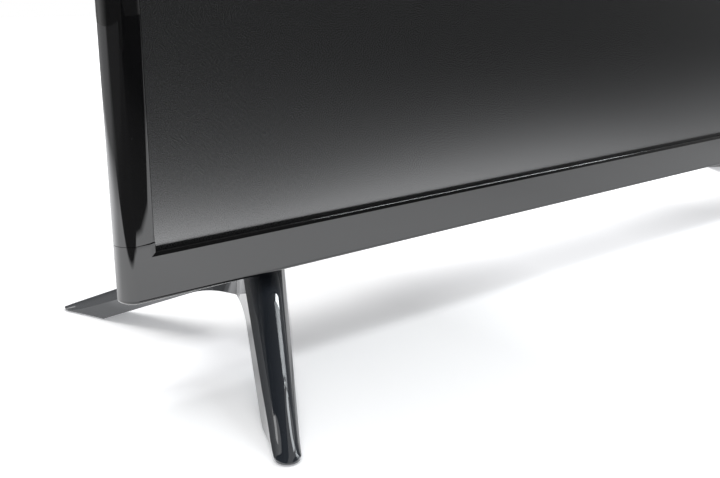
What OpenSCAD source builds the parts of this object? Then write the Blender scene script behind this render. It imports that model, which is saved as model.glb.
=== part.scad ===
// Flat screen television on two splayed feet.
// X runs across the set, Y towards its back and Z up from the floor.
// The origin is on the floor, midway between the feet and midway along them.

/* [Screen] */
// Width of the visible picture
screen_w = 698; // [640:1:760]
// Height of the visible picture
screen_h = 393; // [360:1:430]
// Thickness of the liquid crystal cell
cell_t = 1.4; // [1:0.1:1.8]

/* [Front frame] */
// Width of the frame beside the picture
side_bezel = 16.5; // [15:0.5:22]
// Width of the frame above the picture
top_bezel = 16.5; // [15:0.5:22]
// Height of the trim below the picture
bottom_bezel = 23.8; // [20:0.1:28]
// Step of the frame in front of the glass
bezel_proud = 5; // [4.5:0.1:7]
// Rounding between the front and the sides
edge_r = 7; // [4:0.5:8]
// Rounding of the lower front edge
fillet_r = 2; // [1:0.5:3]
// Width of the sloping lip around the picture
lip_w = 3; // [2:0.1:3.5]
// Depth of the sloping lip
lip_d = 2.2; // [1.5:0.1:3]
// Wall of the frame mouldings
bezel_wall = 2.2; // [1.8:0.1:2.4]

/* [Rear cover] */
// Depth from the backlight tray to the outside of the flat back
cover_d = 10; // [9.5:0.5:14]
// Depth of the electronics housing behind the flat back
bulge_d = 42; // [40:1:52]
// Width of the electronics housing
bulge_w = 344; // [336:1:360]
// Height of the electronics housing above the cabinet's underside
bulge_h = 255; // [250:1:270]
// Reach of the lower skirt outwards past the foot's crest
skirt_out = 45.5; // [42:0.5:50]
// Depth of the lower skirt behind the flat back
skirt_d = 28; // [27:1:32]
// Wall of the rear cover
cover_wall = 2.5; // [2:0.1:3]
// Inward run of the cover's sloping border
cover_slope = 22; // [18:1:26]

/* [Wall mount] */
// Pitch of the square of threaded holes on the back
vesa_pitch = 100; // [100:1:104]
// Radius of each mounting hole
vesa_r = 2.1; // [2:0.05:2.3]

/* [Feet] */
// Clear height under the cabinet
foot_h = 49.5; // [47:0.5:54]
// Distance from the picture's edge in to the foot's crest
foot_in = 74; // [66:0.5:78]
// Plan length of each leg from crest to tip
leg_len = 129.5; // [124:0.5:140]
// Angle in plan between a leg and the depth of the set
leg_splay = 29; // [26:0.5:32]
// Width of a leg at the crest
leg_root_w = 22.5; // [20:0.5:24]
// Width of a leg at its tip
leg_tip_w = 10.9; // [10.5:0.1:13]
// Distance from the foot's middle forward to the glass
glass_ahead = 26; // [24:0.5:28]

/* [Keys] */
// Travel of a pressed key
key_travel = 0.6; // [0.4:0.05:0.8]
// Spacing of the keys
key_pitch = 13; // [12.5:0.1:14]

/* [Fits] */
// Hairline gap between mouldings
part_gap = 0.2; // [0.1:0.05:0.3]
// Sliding clearance around a key and around a plug opening
slide_gap = 0.3; // [0.2:0.05:0.4]
// Clearance around the shank of a screw
screw_gap = 0.15; // [0.1:0.05:0.25]

/* [Hidden] */
$fn = 48;
// Overrun of a cut past the face that it opens
over = 1;

// Cabinet planes
glass_y = -glass_ahead;
front_y = glass_y - bezel_proud;
cab_z = foot_h;
pic_z0 = cab_z + bottom_bezel;
pic_z1 = pic_z0 + screen_h;
cab_top = pic_z1 + top_bezel;
half_pic = screen_w / 2;
half_w = half_pic + side_bezel;
mid_z = (pic_z0 + pic_z1) / 2;

// Screen module: how far each layer reaches past the picture, and its depth
cell_border = 4;
film_border = 5;
flange_border = 7.6;
module_border = 9;
window_border = 0.8;
ledge_t = 1.6;
film_t = 0.3;
plate_t = 1.5;
sheet_t = 0.8;
fit_side = 0.25;
ledge_y = glass_y + cell_t;
film_y = ledge_y + ledge_t;
plate_y = film_y + 2 * film_t;
flange_y = plate_y + plate_t;
module_back = flange_y + sheet_t;
tray_d = 14.1;
tray_y = module_back + tray_d;
tray_floor_y = tray_y - sheet_t;
tray_mouth = 2;
tray_foot = -8;
led_bar_t = 1;
led_y = tray_floor_y - led_bar_t;
led_bar_w = 14;
led_rows = 3;
led_columns = 7;
led_spread = 0.95;
led_pitch = screen_w / led_columns * led_spread;
lens_r = 7;
reflector_t = 0.4;

// Frame: the rim that covers the cell's border, the parting line and the snap tabs
rim_w = 4.5;
lip_start = 0.01;
taper_reach = 20;
seam_rise = 3;
seam_z = pic_z0 + seam_rise;
tab_t = 1.6;
tab_w = 16;
tab_y = module_back + part_gap;
bezel_back_y = tab_y + tab_t;
tab_grip = 1;

// Remote window, at the right-hand end of the trim
ir_in = 30;
ir_x = half_pic - ir_in;
ir_h = 5;
ir_w = 14;
ir_z = cab_z + bezel_wall + (bottom_bezel - module_border - bezel_wall) / 2;
ir_flange_t = 1.2;
ir_flange_w = 3;
ir_chip = 5;

// Rear cover planes
rim_inset = 2;
cover_y0 = bezel_back_y + part_gap;
rim_d = 4;
cover_rim = cover_y0 + rim_d;
cover_y = tray_y + cover_d;
cover_in_y = cover_y - cover_wall;
bulge_y = cover_y + bulge_d;
bulge_in_y = bulge_y - cover_wall;
skirt_y = cover_y + skirt_d;
skirt_h = 66;
skirt_shoulder = 40;
skirt_chamfer = 6;
skirt_r = 8;
bulge_r = 7;
bulge_slope = 40;
bulge_rise = 14;
slope_d = cover_y - cover_rim;
slope_k = sqrt(cover_slope * cover_slope + slope_d * slope_d) / slope_d;
vent_w = 2.5;
vent_step = 8;
vent_margin = 10;
vent_end = 16;
low_vent_in = 2;
low_vent_out = 3;
sound_slots = 11;
sound_step = 4.6;
sound_l = 24;

// Drive board of the screen and its ribbon
source_l = 400;
source_h = 16;
source_rise = 12;
source_z = pic_z0 + source_rise;
driver_w = 20;
driver_l = 9;
ribbon_t = 0.4;
ribbon_w = 26;
ribbon_x = 104;
ribbon_grip = 10;

// Circuit boards, raised so that plugs clear the flat back
pcb_t = 1.6;
thin_pcb_t = 1.2;
chip_t = 1.2;
pcb_lift = 3;
pcb_y = cover_y + pcb_lift;
standoff_h = pcb_y - tray_y;
pcb_face = pcb_y + pcb_t;
board_rise = 58;
board_h = 138;
board_z0 = cab_z + board_rise;
board_z1 = board_z0 + board_h;
board_off = 10;
board_gap = 1;
board_x0 = vesa_pitch / 2 + board_off;
board_x1 = bulge_w / 2 - cover_wall - board_gap;
board_w = board_x1 - board_x0;
standoff_r = 3.5;
transformer_z = 86;
processor_x = 50;
processor_z = 82;
processor_w = 24;
processor_t = 2;
board_screw_inset = 6;
board_port_inset = 22;
board_screw_r = 1.4;
board_head_r = 2.6;
board_head_h = 1.8;
port_x = -bulge_w / 2;
port_reach = 12;

// Heights of the sockets along the port wall, up from the board's lower edge
hdmi_rise = 10;
hdmi_pitch = 18;
usb_rise = 44;
av_rise = 60;
av_pitch = 14;
headphone_lift = 101;
antenna_rise = 116;
hdmi_z = [for (i = [0, 1]) board_z0 + hdmi_rise + hdmi_pitch * i];
usb_z = board_z0 + usb_rise;
av_z = [for (i = [0:2]) board_z0 + av_rise + av_pitch * i];
headphone_z = board_z0 + headphone_lift;
antenna_z = board_z0 + antenna_rise;
hdmi_w = 15;
hdmi_t = 5.8;
usb_w = 14.4;
usb_t = 7;
shell_t = 0.6;
av_r = 4.15;
antenna_r = 4.7;
round_port_rise = 8;
headphone_r = 3.4;
headphone_rise = 4.5;
inlet_rise = 22;
inlet_z = board_z0 + inlet_rise;
inlet_w = 24;
inlet_t = 15;
inlet_depth = 20;
pin_pitch = 8.6;
pin_r = 1.15;
inlet_bore_r = 4.2;
inlet_bore_depth = 12;
inlet_waist = 6;
pin_l = 9.5;

// Wall-mount posts
vesa_r_post = 6;
vesa_thread = 15;
vesa_drop = 20;
vesa_z0 = cab_z + bulge_h - bulge_slope - vesa_drop - vesa_pitch;

// Keys and their board, from the cover's inner face forwards
key_in = 46;
key_rise = 135;
key_x = half_w - key_in;
key_z = cab_z + key_rise;
key_cap_w = 6;
key_cap_l = 9;
key_flange_t = 1.1;
key_flange_w = key_cap_w + 2.6;
key_flange_l = key_cap_l + 2.4;
key_stem_r = 1.5;
key_stem_l = 0.8;
key_proud = 1.2;
key_stem_end = cover_in_y - part_gap - key_flange_t - key_stem_l;
switch_slack = 0.15;
switch_top = key_stem_end - key_travel - switch_slack;
switch_h = 2.5;
switch_w = 6;
switch_button = 0.7;
switch_button_r = 1.6;
key_pcb_face = switch_top - switch_h;
key_pcb_w = 12;
key_count = 7;
key_pcb_end = 10;
key_pcb_l = key_count * key_pitch + 2 * key_pcb_end;
key_post_r = 3;

// Cover screws, as places on the flat back
cover_screw_in = 31;
cover_screw_mid = 239;
cover_screw_low = 119;
cover_screw_drop = 30;
cover_screw_lift = 17;
cover_screw_places = [
    for (s = [-1, 1]) each [
        [s * (half_pic - cover_screw_in), pic_z1 - cover_screw_drop],
        [s * (half_pic - cover_screw_mid), pic_z1 - cover_screw_drop],
        [s * (half_pic - cover_screw_in), mid_z + cover_screw_lift],
        [s * (half_pic - cover_screw_low), pic_z0 + screen_h * 0.22]
    ]
];
cover_post_r = 4.5;
cover_well_r = 3.3;
cover_screw_seat = tray_y + 4;
cover_screw_r = 1.45;
cover_head_r = 2.8;
cover_head_h = 2;
cover_screw_tip = tray_y - 1.5;

// Feet: crest line of a leg, its domed top and the arch below it
foot_x = half_pic - foot_in;
pad_drop = 0.6;
pad_recess = 1;
pad_len = 22;
pad_w = 6.4;
pad_at = leg_len - 17;
crease_top = foot_h - 1.9;
crease_reach = 0.94;
crease_fall = crease_top / (crease_reach * leg_len);
dome_ratio = 0.515;
dome_drop = 0.123;
wall_lap = 0.5;
mitre_lap = 0.3;
arch_z = foot_h - 19.5;
arch_fall = 0.415;
arch_r = 60;
arch_foot = leg_len - 30.6;
arch_bend = atan(arch_fall);
arch_end_z = arch_z - arch_r * (1 - cos(arch_bend));
arch_end_u = arch_foot - arch_end_z / arch_fall;
arch_mid_u = arch_end_u - arch_r * sin(arch_bend);
flank_turn = leg_splay - atan((leg_root_w - leg_tip_w) / 2 / leg_len);
web_r = 14;
web_bite = 0.05;
web_corner = leg_root_w / 2 / cos(leg_splay);
web_x = web_corner + (web_r - web_bite) / cos(flank_turn);
web_end = web_r * sin(flank_turn);
web_top = crease_z(web_x - web_corner);
web_low = arch_z + 1;
foot_screw_x = foot_x + 6;
foot_screw_y = 11;
foot_screw_seat = foot_h - 8.5;
foot_screw_r = 1.95;
foot_head_r = 3.8;
foot_head_h = 2.6;
foot_screw_len = 18;
head_lap = 0.1;
foot_boss_r = 4.5;
foot_boss_h = 12;
foot_boss_end = 1.5;

// Speakers
speaker_l = 72;
speaker_off = 16;
speaker_x1 = foot_screw_x - foot_boss_r - speaker_off;
speaker_x0 = speaker_x1 - speaker_l;
speaker_y0 = tray_y + 2;
speaker_y1 = skirt_y - skirt_chamfer - part_gap;
speaker_z0 = cab_z + cover_wall;
speaker_h = skirt_shoulder - 2 * cover_wall - 1;
speaker_wall = 2;
speaker_y = (speaker_y0 + speaker_y1) / 2;
speaker_x = (speaker_x0 + speaker_x1) / 2;
driver_gap = 0.4;
driver_rim = 1.5;
driver_r = (speaker_y1 - speaker_y0) / 2 - speaker_wall - driver_gap;
driver_mouth_r = driver_r - driver_rim;
driver_h = 18;
magnet_r = 9;
magnet_z = 7;
dust_cap_r = 4;

function leg_w(u) = leg_root_w + (leg_tip_w - leg_root_w) * u / leg_len;
function crease_z(u) = crease_top - crease_fall * u;
function dome_z(u) = crease_z(u) - dome_drop * leg_w(u);
function tray_s(y) = tray_mouth + (tray_foot - tray_mouth) * (y - flange_y) / (tray_y - flange_y);

// Colours
gloss_black = "#101114";
matte_black = "#1b1c1f";
board_green = "#1f5a38";
steel_grey = "#aeb3b8";
white_sheet = "#f2f2ee";
clear_plastic = "#e4ecf2";
tin_plate = "#c9ccd0";
rubber_black = "#242426";

// Box between two opposite corners
module block(a, b) {
    translate(a) cube(b - a);
}

// Runs a plan outline (X, Y) up between two heights
module along_z(z0, z1) {
    translate([0, 0, z0]) linear_extrude(z1 - z0) children();
}

// Runs a side outline (Y, Z) across between two places
module along_x(x0, x1) {
    translate([x0, 0, 0]) rotate([90, 0, 90]) linear_extrude(x1 - x0) children();
}

// Rectangle from (a0, b0) to (a1, b1) with round corners of its own radii at b0
module front_rounded(a0, a1, b0, b1, r0, r1) {
    translate([a0 + r0, b0]) square([a1 - a0 - r0 - r1, b1 - b0]);
    translate([a0, b0 + r0]) square([2 * r0, b1 - b0 - r0]);
    translate([a1 - 2 * r1, b0 + r1]) square([2 * r1, b1 - b0 - r1]);
    translate([a0 + r0, b0 + r0]) circle(r0);
    translate([a1 - r1, b0 + r1]) circle(r1);
}

// Bar with round ends, laid along Y: length runs along Z or X
module oblong_z(x, z, w, l, y0, y1) {
    block([x - w / 2, y0, z - (l - w) / 2], [x + w / 2, y1, z + (l - w) / 2]);
    for (s = [-1, 1]) rod_y([x, y0, z + s * (l - w) / 2], w / 2, y1 - y0);
}

module oblong_x(x, z, w, l, y0, y1) {
    block([x - (l - w) / 2, y0, z - w / 2], [x + (l - w) / 2, y1, z + w / 2]);
    for (s = [-1, 1]) rod_y([x + s * (l - w) / 2, y0, z], w / 2, y1 - y0);
}

// Round rod from a point, along +Y or along -X
module rod_y(at, r, h) {
    translate(at) rotate([-90, 0, 0]) cylinder(h = h, r = r);
}

module rod_out(at, r, h) {
    translate(at) rotate([0, -90, 0]) cylinder(h = h, r = r);
}

// Slab that reaches s past the picture on every side
module picture_block(s, y0, y1) {
    block([-half_pic - s, y0, pic_z0 - s], [half_pic + s, y1, pic_z1 + s]);
}

// Slab whose reach past the picture changes evenly from s0 to s1
module picture_taper(y0, s0, y1, s1) {
    intersection() {
        along_z(pic_z0 - taper_reach, pic_z1 + taper_reach)
            polygon([[-half_pic - s0, y0], [half_pic + s0, y0], [half_pic + s1, y1], [-half_pic - s1, y1]]);
        along_x(-half_pic - taper_reach, half_pic + taper_reach)
            polygon([[y0, pic_z0 - s0], [y0, pic_z1 + s0], [y1, pic_z1 + s1], [y1, pic_z0 - s1]]);
    }
}

// Outer form of the front frame, drawn in by i on its outside
module frame_form(i, back) {
    intersection() {
        along_z(cab_z + i, cab_top - i)
            front_rounded(-half_w + i, half_w - i, front_y + i, back, edge_r - i, edge_r - i);
        along_x(-half_w + i, half_w - i)
            mirror([1, -1, 0])
                front_rounded(cab_z + i, cab_top - i, front_y + i, back, max(fillet_r - i, 0.4), edge_r - i);
    }
}

// Tabs that snap in behind the screen module
module snap_tabs() {
    for (s = [-1, 1]) {
        for (f = [0.14, 0.5, 0.86])
            translate([s * (half_w - bezel_wall / 2 + half_pic + module_border - tab_grip) / 2, 0, 0])
                block(
                    [-(side_bezel - module_border + tab_grip - bezel_wall / 2) / 2, tab_y,
                        pic_z0 + f * screen_h - tab_w / 2],
                    [(side_bezel - module_border + tab_grip - bezel_wall / 2) / 2, bezel_back_y,
                        pic_z0 + f * screen_h + tab_w / 2]
                );
        for (f = [0.2, 0.7]) {
            block(
                [s * f * half_pic - tab_w / 2, tab_y, pic_z1 + module_border - tab_grip],
                [s * f * half_pic + tab_w / 2, bezel_back_y, cab_top - bezel_wall / 2]
            );
            block(
                [s * f * half_pic - tab_w / 2, tab_y, cab_z + bezel_wall / 2],
                [s * f * half_pic + tab_w / 2, bezel_back_y, pic_z0 - module_border + tab_grip]
            );
        }
    }
}

// Whole front frame before it is parted into the upper frame and the trim
module frame_ring() {
    difference() {
        frame_form(0, bezel_back_y);
        difference() {
            frame_form(bezel_wall, bezel_back_y + over);
            difference() {
                picture_block(rim_w, front_y, glass_y - fit_side);
                picture_block(-over, front_y - over, glass_y);
            }
        }
        picture_taper(front_y - lip_start, lip_w, front_y + lip_d, 0);
        picture_block(0, front_y, glass_y);
    }
    snap_tabs();
}

// Upper frame: left side, top and right side in one moulding
module side_frame() {
    color(gloss_black)
        intersection() {
            frame_ring();
            block(
                [-half_w - over, front_y - over, seam_z + part_gap / 2],
                [half_w + over, bezel_back_y + over, cab_top + over]
            );
        }
}

// Bottom trim, which wraps both lower corners
module bottom_trim() {
    color(gloss_black)
        difference() {
            intersection() {
                frame_ring();
                block(
                    [-half_w - over, front_y - over, cab_z - over],
                    [half_w + over, bezel_back_y + over, seam_z - part_gap / 2]
                );
            }
            oblong_x(
                ir_x, ir_z, ir_h + 2 * part_gap, ir_w + 2 * part_gap,
                front_y - over, front_y + bezel_wall + over
            );
        }
}

// Dark window in front of the remote receiver
module ir_window() {
    color("#2a1014") {
        oblong_x(ir_x, ir_z, ir_h, ir_w, front_y, front_y + bezel_wall + ir_flange_t);
        oblong_x(
            ir_x, ir_z, ir_h + ir_flange_w, ir_w + ir_flange_w,
            front_y + bezel_wall, front_y + bezel_wall + ir_flange_t
        );
    }
}

// Small board with the remote receiver and the standby lamp
module ir_board() {
    board_l = 26;
    chip_h = 2.2;
    chip_x = ir_x - 6;
    lamp_x = ir_x + 3.5;
    lamp_r = 1.5;
    chip_y = front_y + bezel_wall + ir_flange_t;
    board_y = chip_y + chip_h;
    color(board_green)
        block(
            [ir_x - board_l / 2, board_y, cab_z + bezel_wall],
            [ir_x + board_l / 2, board_y + thin_pcb_t, pic_z0 - module_border - fit_side]
        );
    color(matte_black)
        block([chip_x, chip_y, ir_z - ir_chip / 2], [chip_x + ir_chip, board_y, ir_z + ir_chip / 2]);
    color(clear_plastic) rod_y([lamp_x, chip_y, ir_z], lamp_r, chip_h);
}

// Liquid crystal cell
module lcd_cell() {
    color("#1c1f24") picture_block(cell_border, glass_y, ledge_y);
}

// Moulded frame that holds the cell in front and the light sheets behind
module panel_frame() {
    color(matte_black)
        difference() {
            picture_block(module_border, glass_y, module_back);
            picture_block(cell_border + fit_side, glass_y - over, ledge_y);
            picture_block(window_border, glass_y - over, module_back + over);
            picture_block(film_border + fit_side, film_y, module_back + over);
            picture_block(flange_border + fit_side, flange_y, module_back + over);
        }
}

// Light sheets between the cell and the backlight
module prism_film() {
    color(clear_plastic) picture_block(film_border, film_y, film_y + film_t);
}

module diffuser_film() {
    color(white_sheet) picture_block(film_border, film_y + film_t, plate_y);
}

module diffuser_plate() {
    color(white_sheet) picture_block(film_border, plate_y, flange_y);
}

// Middle of each lamp, for every row and column
module each_led() {
    for (row = [0:led_rows - 1])
        for (column = [0:led_columns - 1])
            translate([
                (column - (led_columns - 1) / 2) * led_pitch, 0,
                pic_z0 + screen_h * (row + 0.5) / led_rows
            ])
                children();
}

// White reflector dish, with a hole for each lens
module reflector_sheet() {
    rim_y = module_back + part_gap;
    back_y = led_y;
    in_y = led_y - reflector_t;
    side_gap = 1.5;
    lens_gap = 0.6;
    color(white_sheet)
        difference() {
            picture_taper(rim_y, tray_s(rim_y) - side_gap, back_y, tray_s(back_y) - side_gap);
            picture_taper(
                rim_y - over, tray_s(rim_y - over) - side_gap - reflector_t,
                in_y, tray_s(in_y) - side_gap - reflector_t
            );
            each_led() rod_y([0, in_y - over, 0], lens_r + lens_gap, reflector_t + 2 * over);
        }
}

// Spreading lens over each lamp
module led_lenses() {
    brim_t = 1.5;
    dome_r = 8;
    dome_sink = 1.7;
    dome_cut = 1;
    color(clear_plastic)
        each_led() {
            rod_y([0, led_y - brim_t, 0], lens_r, brim_t);
            difference() {
                translate([0, led_y + dome_sink, 0]) sphere(r = dome_r);
                block([-dome_r - over, led_y - dome_cut, -dome_r - over],
                    [dome_r + over, led_y + dome_sink + dome_r + over, dome_r + over]);
            }
        }
}

// Lamp strips on the tray's floor
module led_bars() {
    color(white_sheet)
        for (row = [0:led_rows - 1]) {
            z = pic_z0 + screen_h * (row + 0.5) / led_rows;
            block(
                [-led_pitch * led_columns / 2, led_y, z - led_bar_w / 2],
                [led_pitch * led_columns / 2, tray_floor_y, z + led_bar_w / 2]
            );
        }
}

// Screw places of the two boards
module each_board_screw() {
    for (s = [-1, 1])
        for (x = [board_x0 + board_screw_inset, board_x1 - board_port_inset])
            for (z = [board_z0 + board_screw_inset, board_z1 - board_screw_inset])
                translate([s * x, 0, z]) children();
}

module each_cover_screw() {
    for (place = cover_screw_places) translate([place[0], 0, place[1]]) children();
}

// Pressed steel tray of the backlight, with stiffening beads and board standoffs
module backlight_tray() {
    wall_run = sheet_t * 1.2;
    bead_l = half_pic - 40;
    bead_w = 14;
    bead_h = 2;
    color(steel_grey)
        difference() {
            union() {
                picture_block(flange_border, flange_y, module_back);
                picture_taper(flange_y, tray_mouth, tray_y, tray_foot);
                for (f = [1, 2])
                    translate([0, 0, pic_z0 + screen_h * f / led_rows])
                        block([-bead_l, tray_y - over, -bead_w / 2], [bead_l, tray_y + bead_h, bead_w / 2]);
                each_board_screw() rod_y([0, tray_y - sheet_t / 2, 0], standoff_r, standoff_h + sheet_t / 2);
            }
            picture_taper(
                flange_y - over, tray_s(flange_y - over) - wall_run,
                tray_floor_y, tray_s(tray_floor_y) - wall_run
            );
            for (f = [1, 2])
                translate([0, 0, pic_z0 + screen_h * f / led_rows])
                    block(
                        [-bead_l + sheet_t, tray_floor_y - over, -bead_w / 2 + sheet_t],
                        [bead_l - sheet_t, tray_y + bead_h - sheet_t, bead_w / 2 - sheet_t]
                    );
            each_board_screw() rod_y([0, tray_y + over, 0], board_screw_r + screw_gap, standoff_h);
            each_cover_screw()
                rod_y([0, tray_floor_y - over, 0], cover_screw_r + screw_gap, sheet_t + 2 * over);
        }
}

// Place on a board, x outwards from its inner edge and z up from its lower edge
module on_board(side, x, z) {
    translate([side * (board_x0 + x), pcb_face, board_z0 + z]) children();
}

// Block that stands on a board, drawn about its place
module chip(w, l, h) {
    translate([-w / 2, 0, -l / 2]) cube([w, h, l]);
}

// Can that stands on a board, drawn about its place
module can(r, h) {
    rod_y([0, 0, 0], r, h);
}

// Drive board of the screen, along the tray's lower edge
module source_board() {
    color(board_green)
        block(
            [-source_l / 2, tray_y, source_z],
            [source_l / 2, tray_y + thin_pcb_t, source_z + source_h]
        );
    color(matte_black)
        for (i = [-2:2])
            translate([i * source_l / 5 - driver_w / 4, tray_y + thin_pcb_t, source_z + source_h / 2 - 0.5])
                chip(driver_w, driver_l, chip_t);
}

// Flat ribbon from the drive board up to the main board
module panel_ribbon() {
    low_y = tray_y + thin_pcb_t;
    z0 = source_z + source_h / 2;
    z1 = source_z + source_h - 1;
    z2 = board_z0 - ribbon_t;
    z3 = board_z0 + ribbon_grip;
    color(white_sheet)
        along_x(-ribbon_x - ribbon_w, -ribbon_x)
            polygon([
                [low_y, z0], [low_y, z1], [pcb_face, z2], [pcb_face, z3],
                [pcb_face + ribbon_t, z3], [pcb_face + ribbon_t, z2 - ribbon_t],
                [low_y + ribbon_t, z1 - ribbon_t], [low_y + ribbon_t, z0]
            ]);
}

// Board blank with its four screw holes, on the side given
module board_blank(side) {
    difference() {
        block(
            [side > 0 ? board_x0 : -board_x1, pcb_y, board_z0],
            [side > 0 ? board_x1 : -board_x0, pcb_face, board_z1]
        );
        each_board_screw() rod_y([0, pcb_y - over, 0], board_screw_r + screw_gap, pcb_t + 2 * over);
    }
}

// Main board with its chips
module main_board() {
    memory_w = 12;
    memory_l = 14;
    memory_step = 18;
    sound_chip_w = 12;
    can_r = 4;
    can_h = 9;
    color(board_green) board_blank(-1);
    color(matte_black) {
        on_board(-1, processor_x, processor_z) chip(processor_w, processor_w, processor_t);
        for (s = [-1, 1])
            on_board(-1, 2 * memory_w, processor_z + s * memory_step / 2) chip(memory_w, memory_l, chip_t);
        on_board(-1, processor_x + 20, processor_z / 2) chip(sound_chip_w, sound_chip_w, chip_t);
    }
    color("#3b4a63")
        for (i = [0, 1])
            on_board(-1, board_w - board_port_inset + can_r - 3.5 * can_r * i, 3 * board_screw_inset)
                can(can_r, can_h);
}

// Finned heatsink on the processor
module processor_heatsink() {
    w = 40;
    base_t = 3;
    fins = 7;
    fin_t = 2.5;
    fin_h = 12;
    color(matte_black)
        on_board(-1, processor_x, processor_z)
            translate([0, processor_t, 0]) {
                chip(w, w, base_t);
                for (i = [0:fins - 1])
                    translate([(i / (fins - 1) - 0.5) * (w - fin_t), 0, 0]) chip(fin_t, w, fin_h);
            }
}

// Screened tuner beside the antenna socket
module tuner_can() {
    x0 = port_x + port_reach + 1;
    length = 44;
    z0 = antenna_z - 9;
    z1 = antenna_z + 7;
    top_y = pcb_face + 14;
    slots = 5;
    slot_step = 7;
    slot_w = 2;
    slot_d = 1;
    slot_end = 4;
    color(tin_plate)
        difference() {
            block([x0, pcb_face, z0], [x0 + length, top_y, z1]);
            for (i = [1:slots])
                block(
                    [x0 + slot_step * i, top_y - slot_d, z0 + slot_end],
                    [x0 + slot_step * i + slot_w, top_y + over, z1 - slot_end]
                );
        }
}

// Pair of display sockets
module hdmi_sockets() {
    mouth_d = 9;
    tongue_x = 2;
    tongue_l = 8;
    tongue_y = 2.4;
    tongue_t = 1;
    tongue_w = 11;
    color(tin_plate)
        for (z = hdmi_z) {
            difference() {
                block(
                    [port_x + part_gap, pcb_face, z - hdmi_w / 2],
                    [port_x + port_reach, pcb_face + hdmi_t, z + hdmi_w / 2]
                );
                block(
                    [port_x - over, pcb_face + shell_t, z - hdmi_w / 2 + shell_t],
                    [port_x + mouth_d, pcb_face + hdmi_t - shell_t, z + hdmi_w / 2 - shell_t]
                );
            }
            block(
                [port_x + tongue_x, pcb_face + tongue_y, z - tongue_w / 2],
                [port_x + tongue_x + tongue_l, pcb_face + tongue_y + tongue_t, z + tongue_w / 2]
            );
        }
}

// Memory stick socket
module usb_socket() {
    z = usb_z;
    mouth_d = 10;
    body_l = port_reach + 2;
    tongue_x = 1.5;
    tongue_l = 9.5;
    tongue_y = 3.6;
    tongue_t = 2;
    tongue_w = 11.2;
    color(tin_plate) {
        difference() {
            block(
                [port_x + part_gap, pcb_face, z - usb_w / 2],
                [port_x + body_l, pcb_face + usb_t, z + usb_w / 2]
            );
            block(
                [port_x - over, pcb_face + shell_t, z - usb_w / 2 + shell_t],
                [port_x + mouth_d, pcb_face + usb_t - shell_t, z + usb_w / 2 - shell_t]
            );
        }
        block(
            [port_x + tongue_x, pcb_face + tongue_y, z - tongue_w / 2],
            [port_x + tongue_x + tongue_l, pcb_face + tongue_y + tongue_t, z + tongue_w / 2]
        );
    }
}

// Three phono jacks on one body
module av_jacks() {
    y = pcb_face + round_port_rise;
    body_x = port_x + 7;
    body_l = 10;
    body_end = 6.5;
    body_t = 2 * round_port_rise - 1;
    sleeve_l = 13;
    root_l = 1;
    bore_r = 1.7;
    color("#d8b23a")
        for (z = av_z)
            difference() {
                rod_out([body_x + root_l, y, z], av_r, sleeve_l);
                rod_out([body_x, y, z], bore_r, sleeve_l);
            }
    color(matte_black)
        block(
            [body_x, pcb_face, av_z[0] - body_end],
            [body_x + body_l, pcb_face + body_t, av_z[2] + body_end]
        );
}

// Threaded antenna barrel with its nut
module antenna_socket() {
    y = pcb_face + round_port_rise;
    root_x = port_x + port_reach + 1;
    barrel_l = port_reach + 10;
    nut_x = port_x + 5;
    nut_t = 3;
    nut_r = 6.4;
    bore_r = 0.7;
    bore_l = 12;
    color(tin_plate)
        difference() {
            union() {
                rod_out([root_x, y, antenna_z], antenna_r, barrel_l);
                translate([nut_x, y, antenna_z])
                    rotate([0, 90, 0]) cylinder(h = nut_t, r = nut_r, $fn = 6);
            }
            rod_out([port_x, y, antenna_z], bore_r, bore_l);
        }
}

// Headphone jack
module headphone_jack() {
    y = pcb_face + headphone_rise;
    body_x = port_x + 4;
    body_l = 12;
    body_w = 10;
    root_x = body_x + 1;
    bore_r = 1.8;
    bore_x = port_x + 14;
    bore_l = 16;
    color(matte_black)
        difference() {
            union() {
                block(
                    [body_x, pcb_face, headphone_z - body_w / 2],
                    [body_x + body_l, pcb_face + 2 * headphone_rise, headphone_z + body_w / 2]
                );
                rod_out([root_x, y, headphone_z], headphone_r, root_x - port_x - part_gap);
            }
            rod_out([bore_x, y, headphone_z], bore_r, bore_l);
        }
}

// Power board with its small parts
module power_board() {
    choke_w = 20;
    choke_l = 18;
    choke_h = 16;
    small_can_r = 3;
    small_can_h = 12;
    disc_r = 6;
    disc_h = 5;
    color("#7a5a2e") board_blank(1);
    color(matte_black) {
        on_board(1, 1.7 * choke_w, 1.6 * choke_l) chip(choke_w, choke_l, choke_h);
        for (i = [0:3])
            on_board(1, (7 + 3 * i) * small_can_r, board_h - 2 * board_screw_inset)
                can(small_can_r, small_can_h);
    }
    color("#2d6d9a")
        on_board(1, board_w - board_port_inset - disc_r, inlet_z - board_z0 + 4 * disc_r) can(disc_r, disc_h);
}

// Transformer: ferrite core around a wound bobbin
module power_transformer() {
    core_w = 34;
    core_l = 30;
    core_h = 30;
    window_w = 5;
    window_h = 18;
    tape_t = 1.5;
    on_board(1, board_w / 2, transformer_z) {
        color("#4a4a4e")
            difference() {
                chip(core_w, core_l, core_h);
                for (s = [-1, 1])
                    translate([s * core_w / 3, (core_h - window_h) / 2, 0])
                        chip(window_w, core_l + over, window_h);
            }
        color("#d8a521") translate([0, core_h, 0]) can(core_w / 4, tape_t);
    }
}

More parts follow.
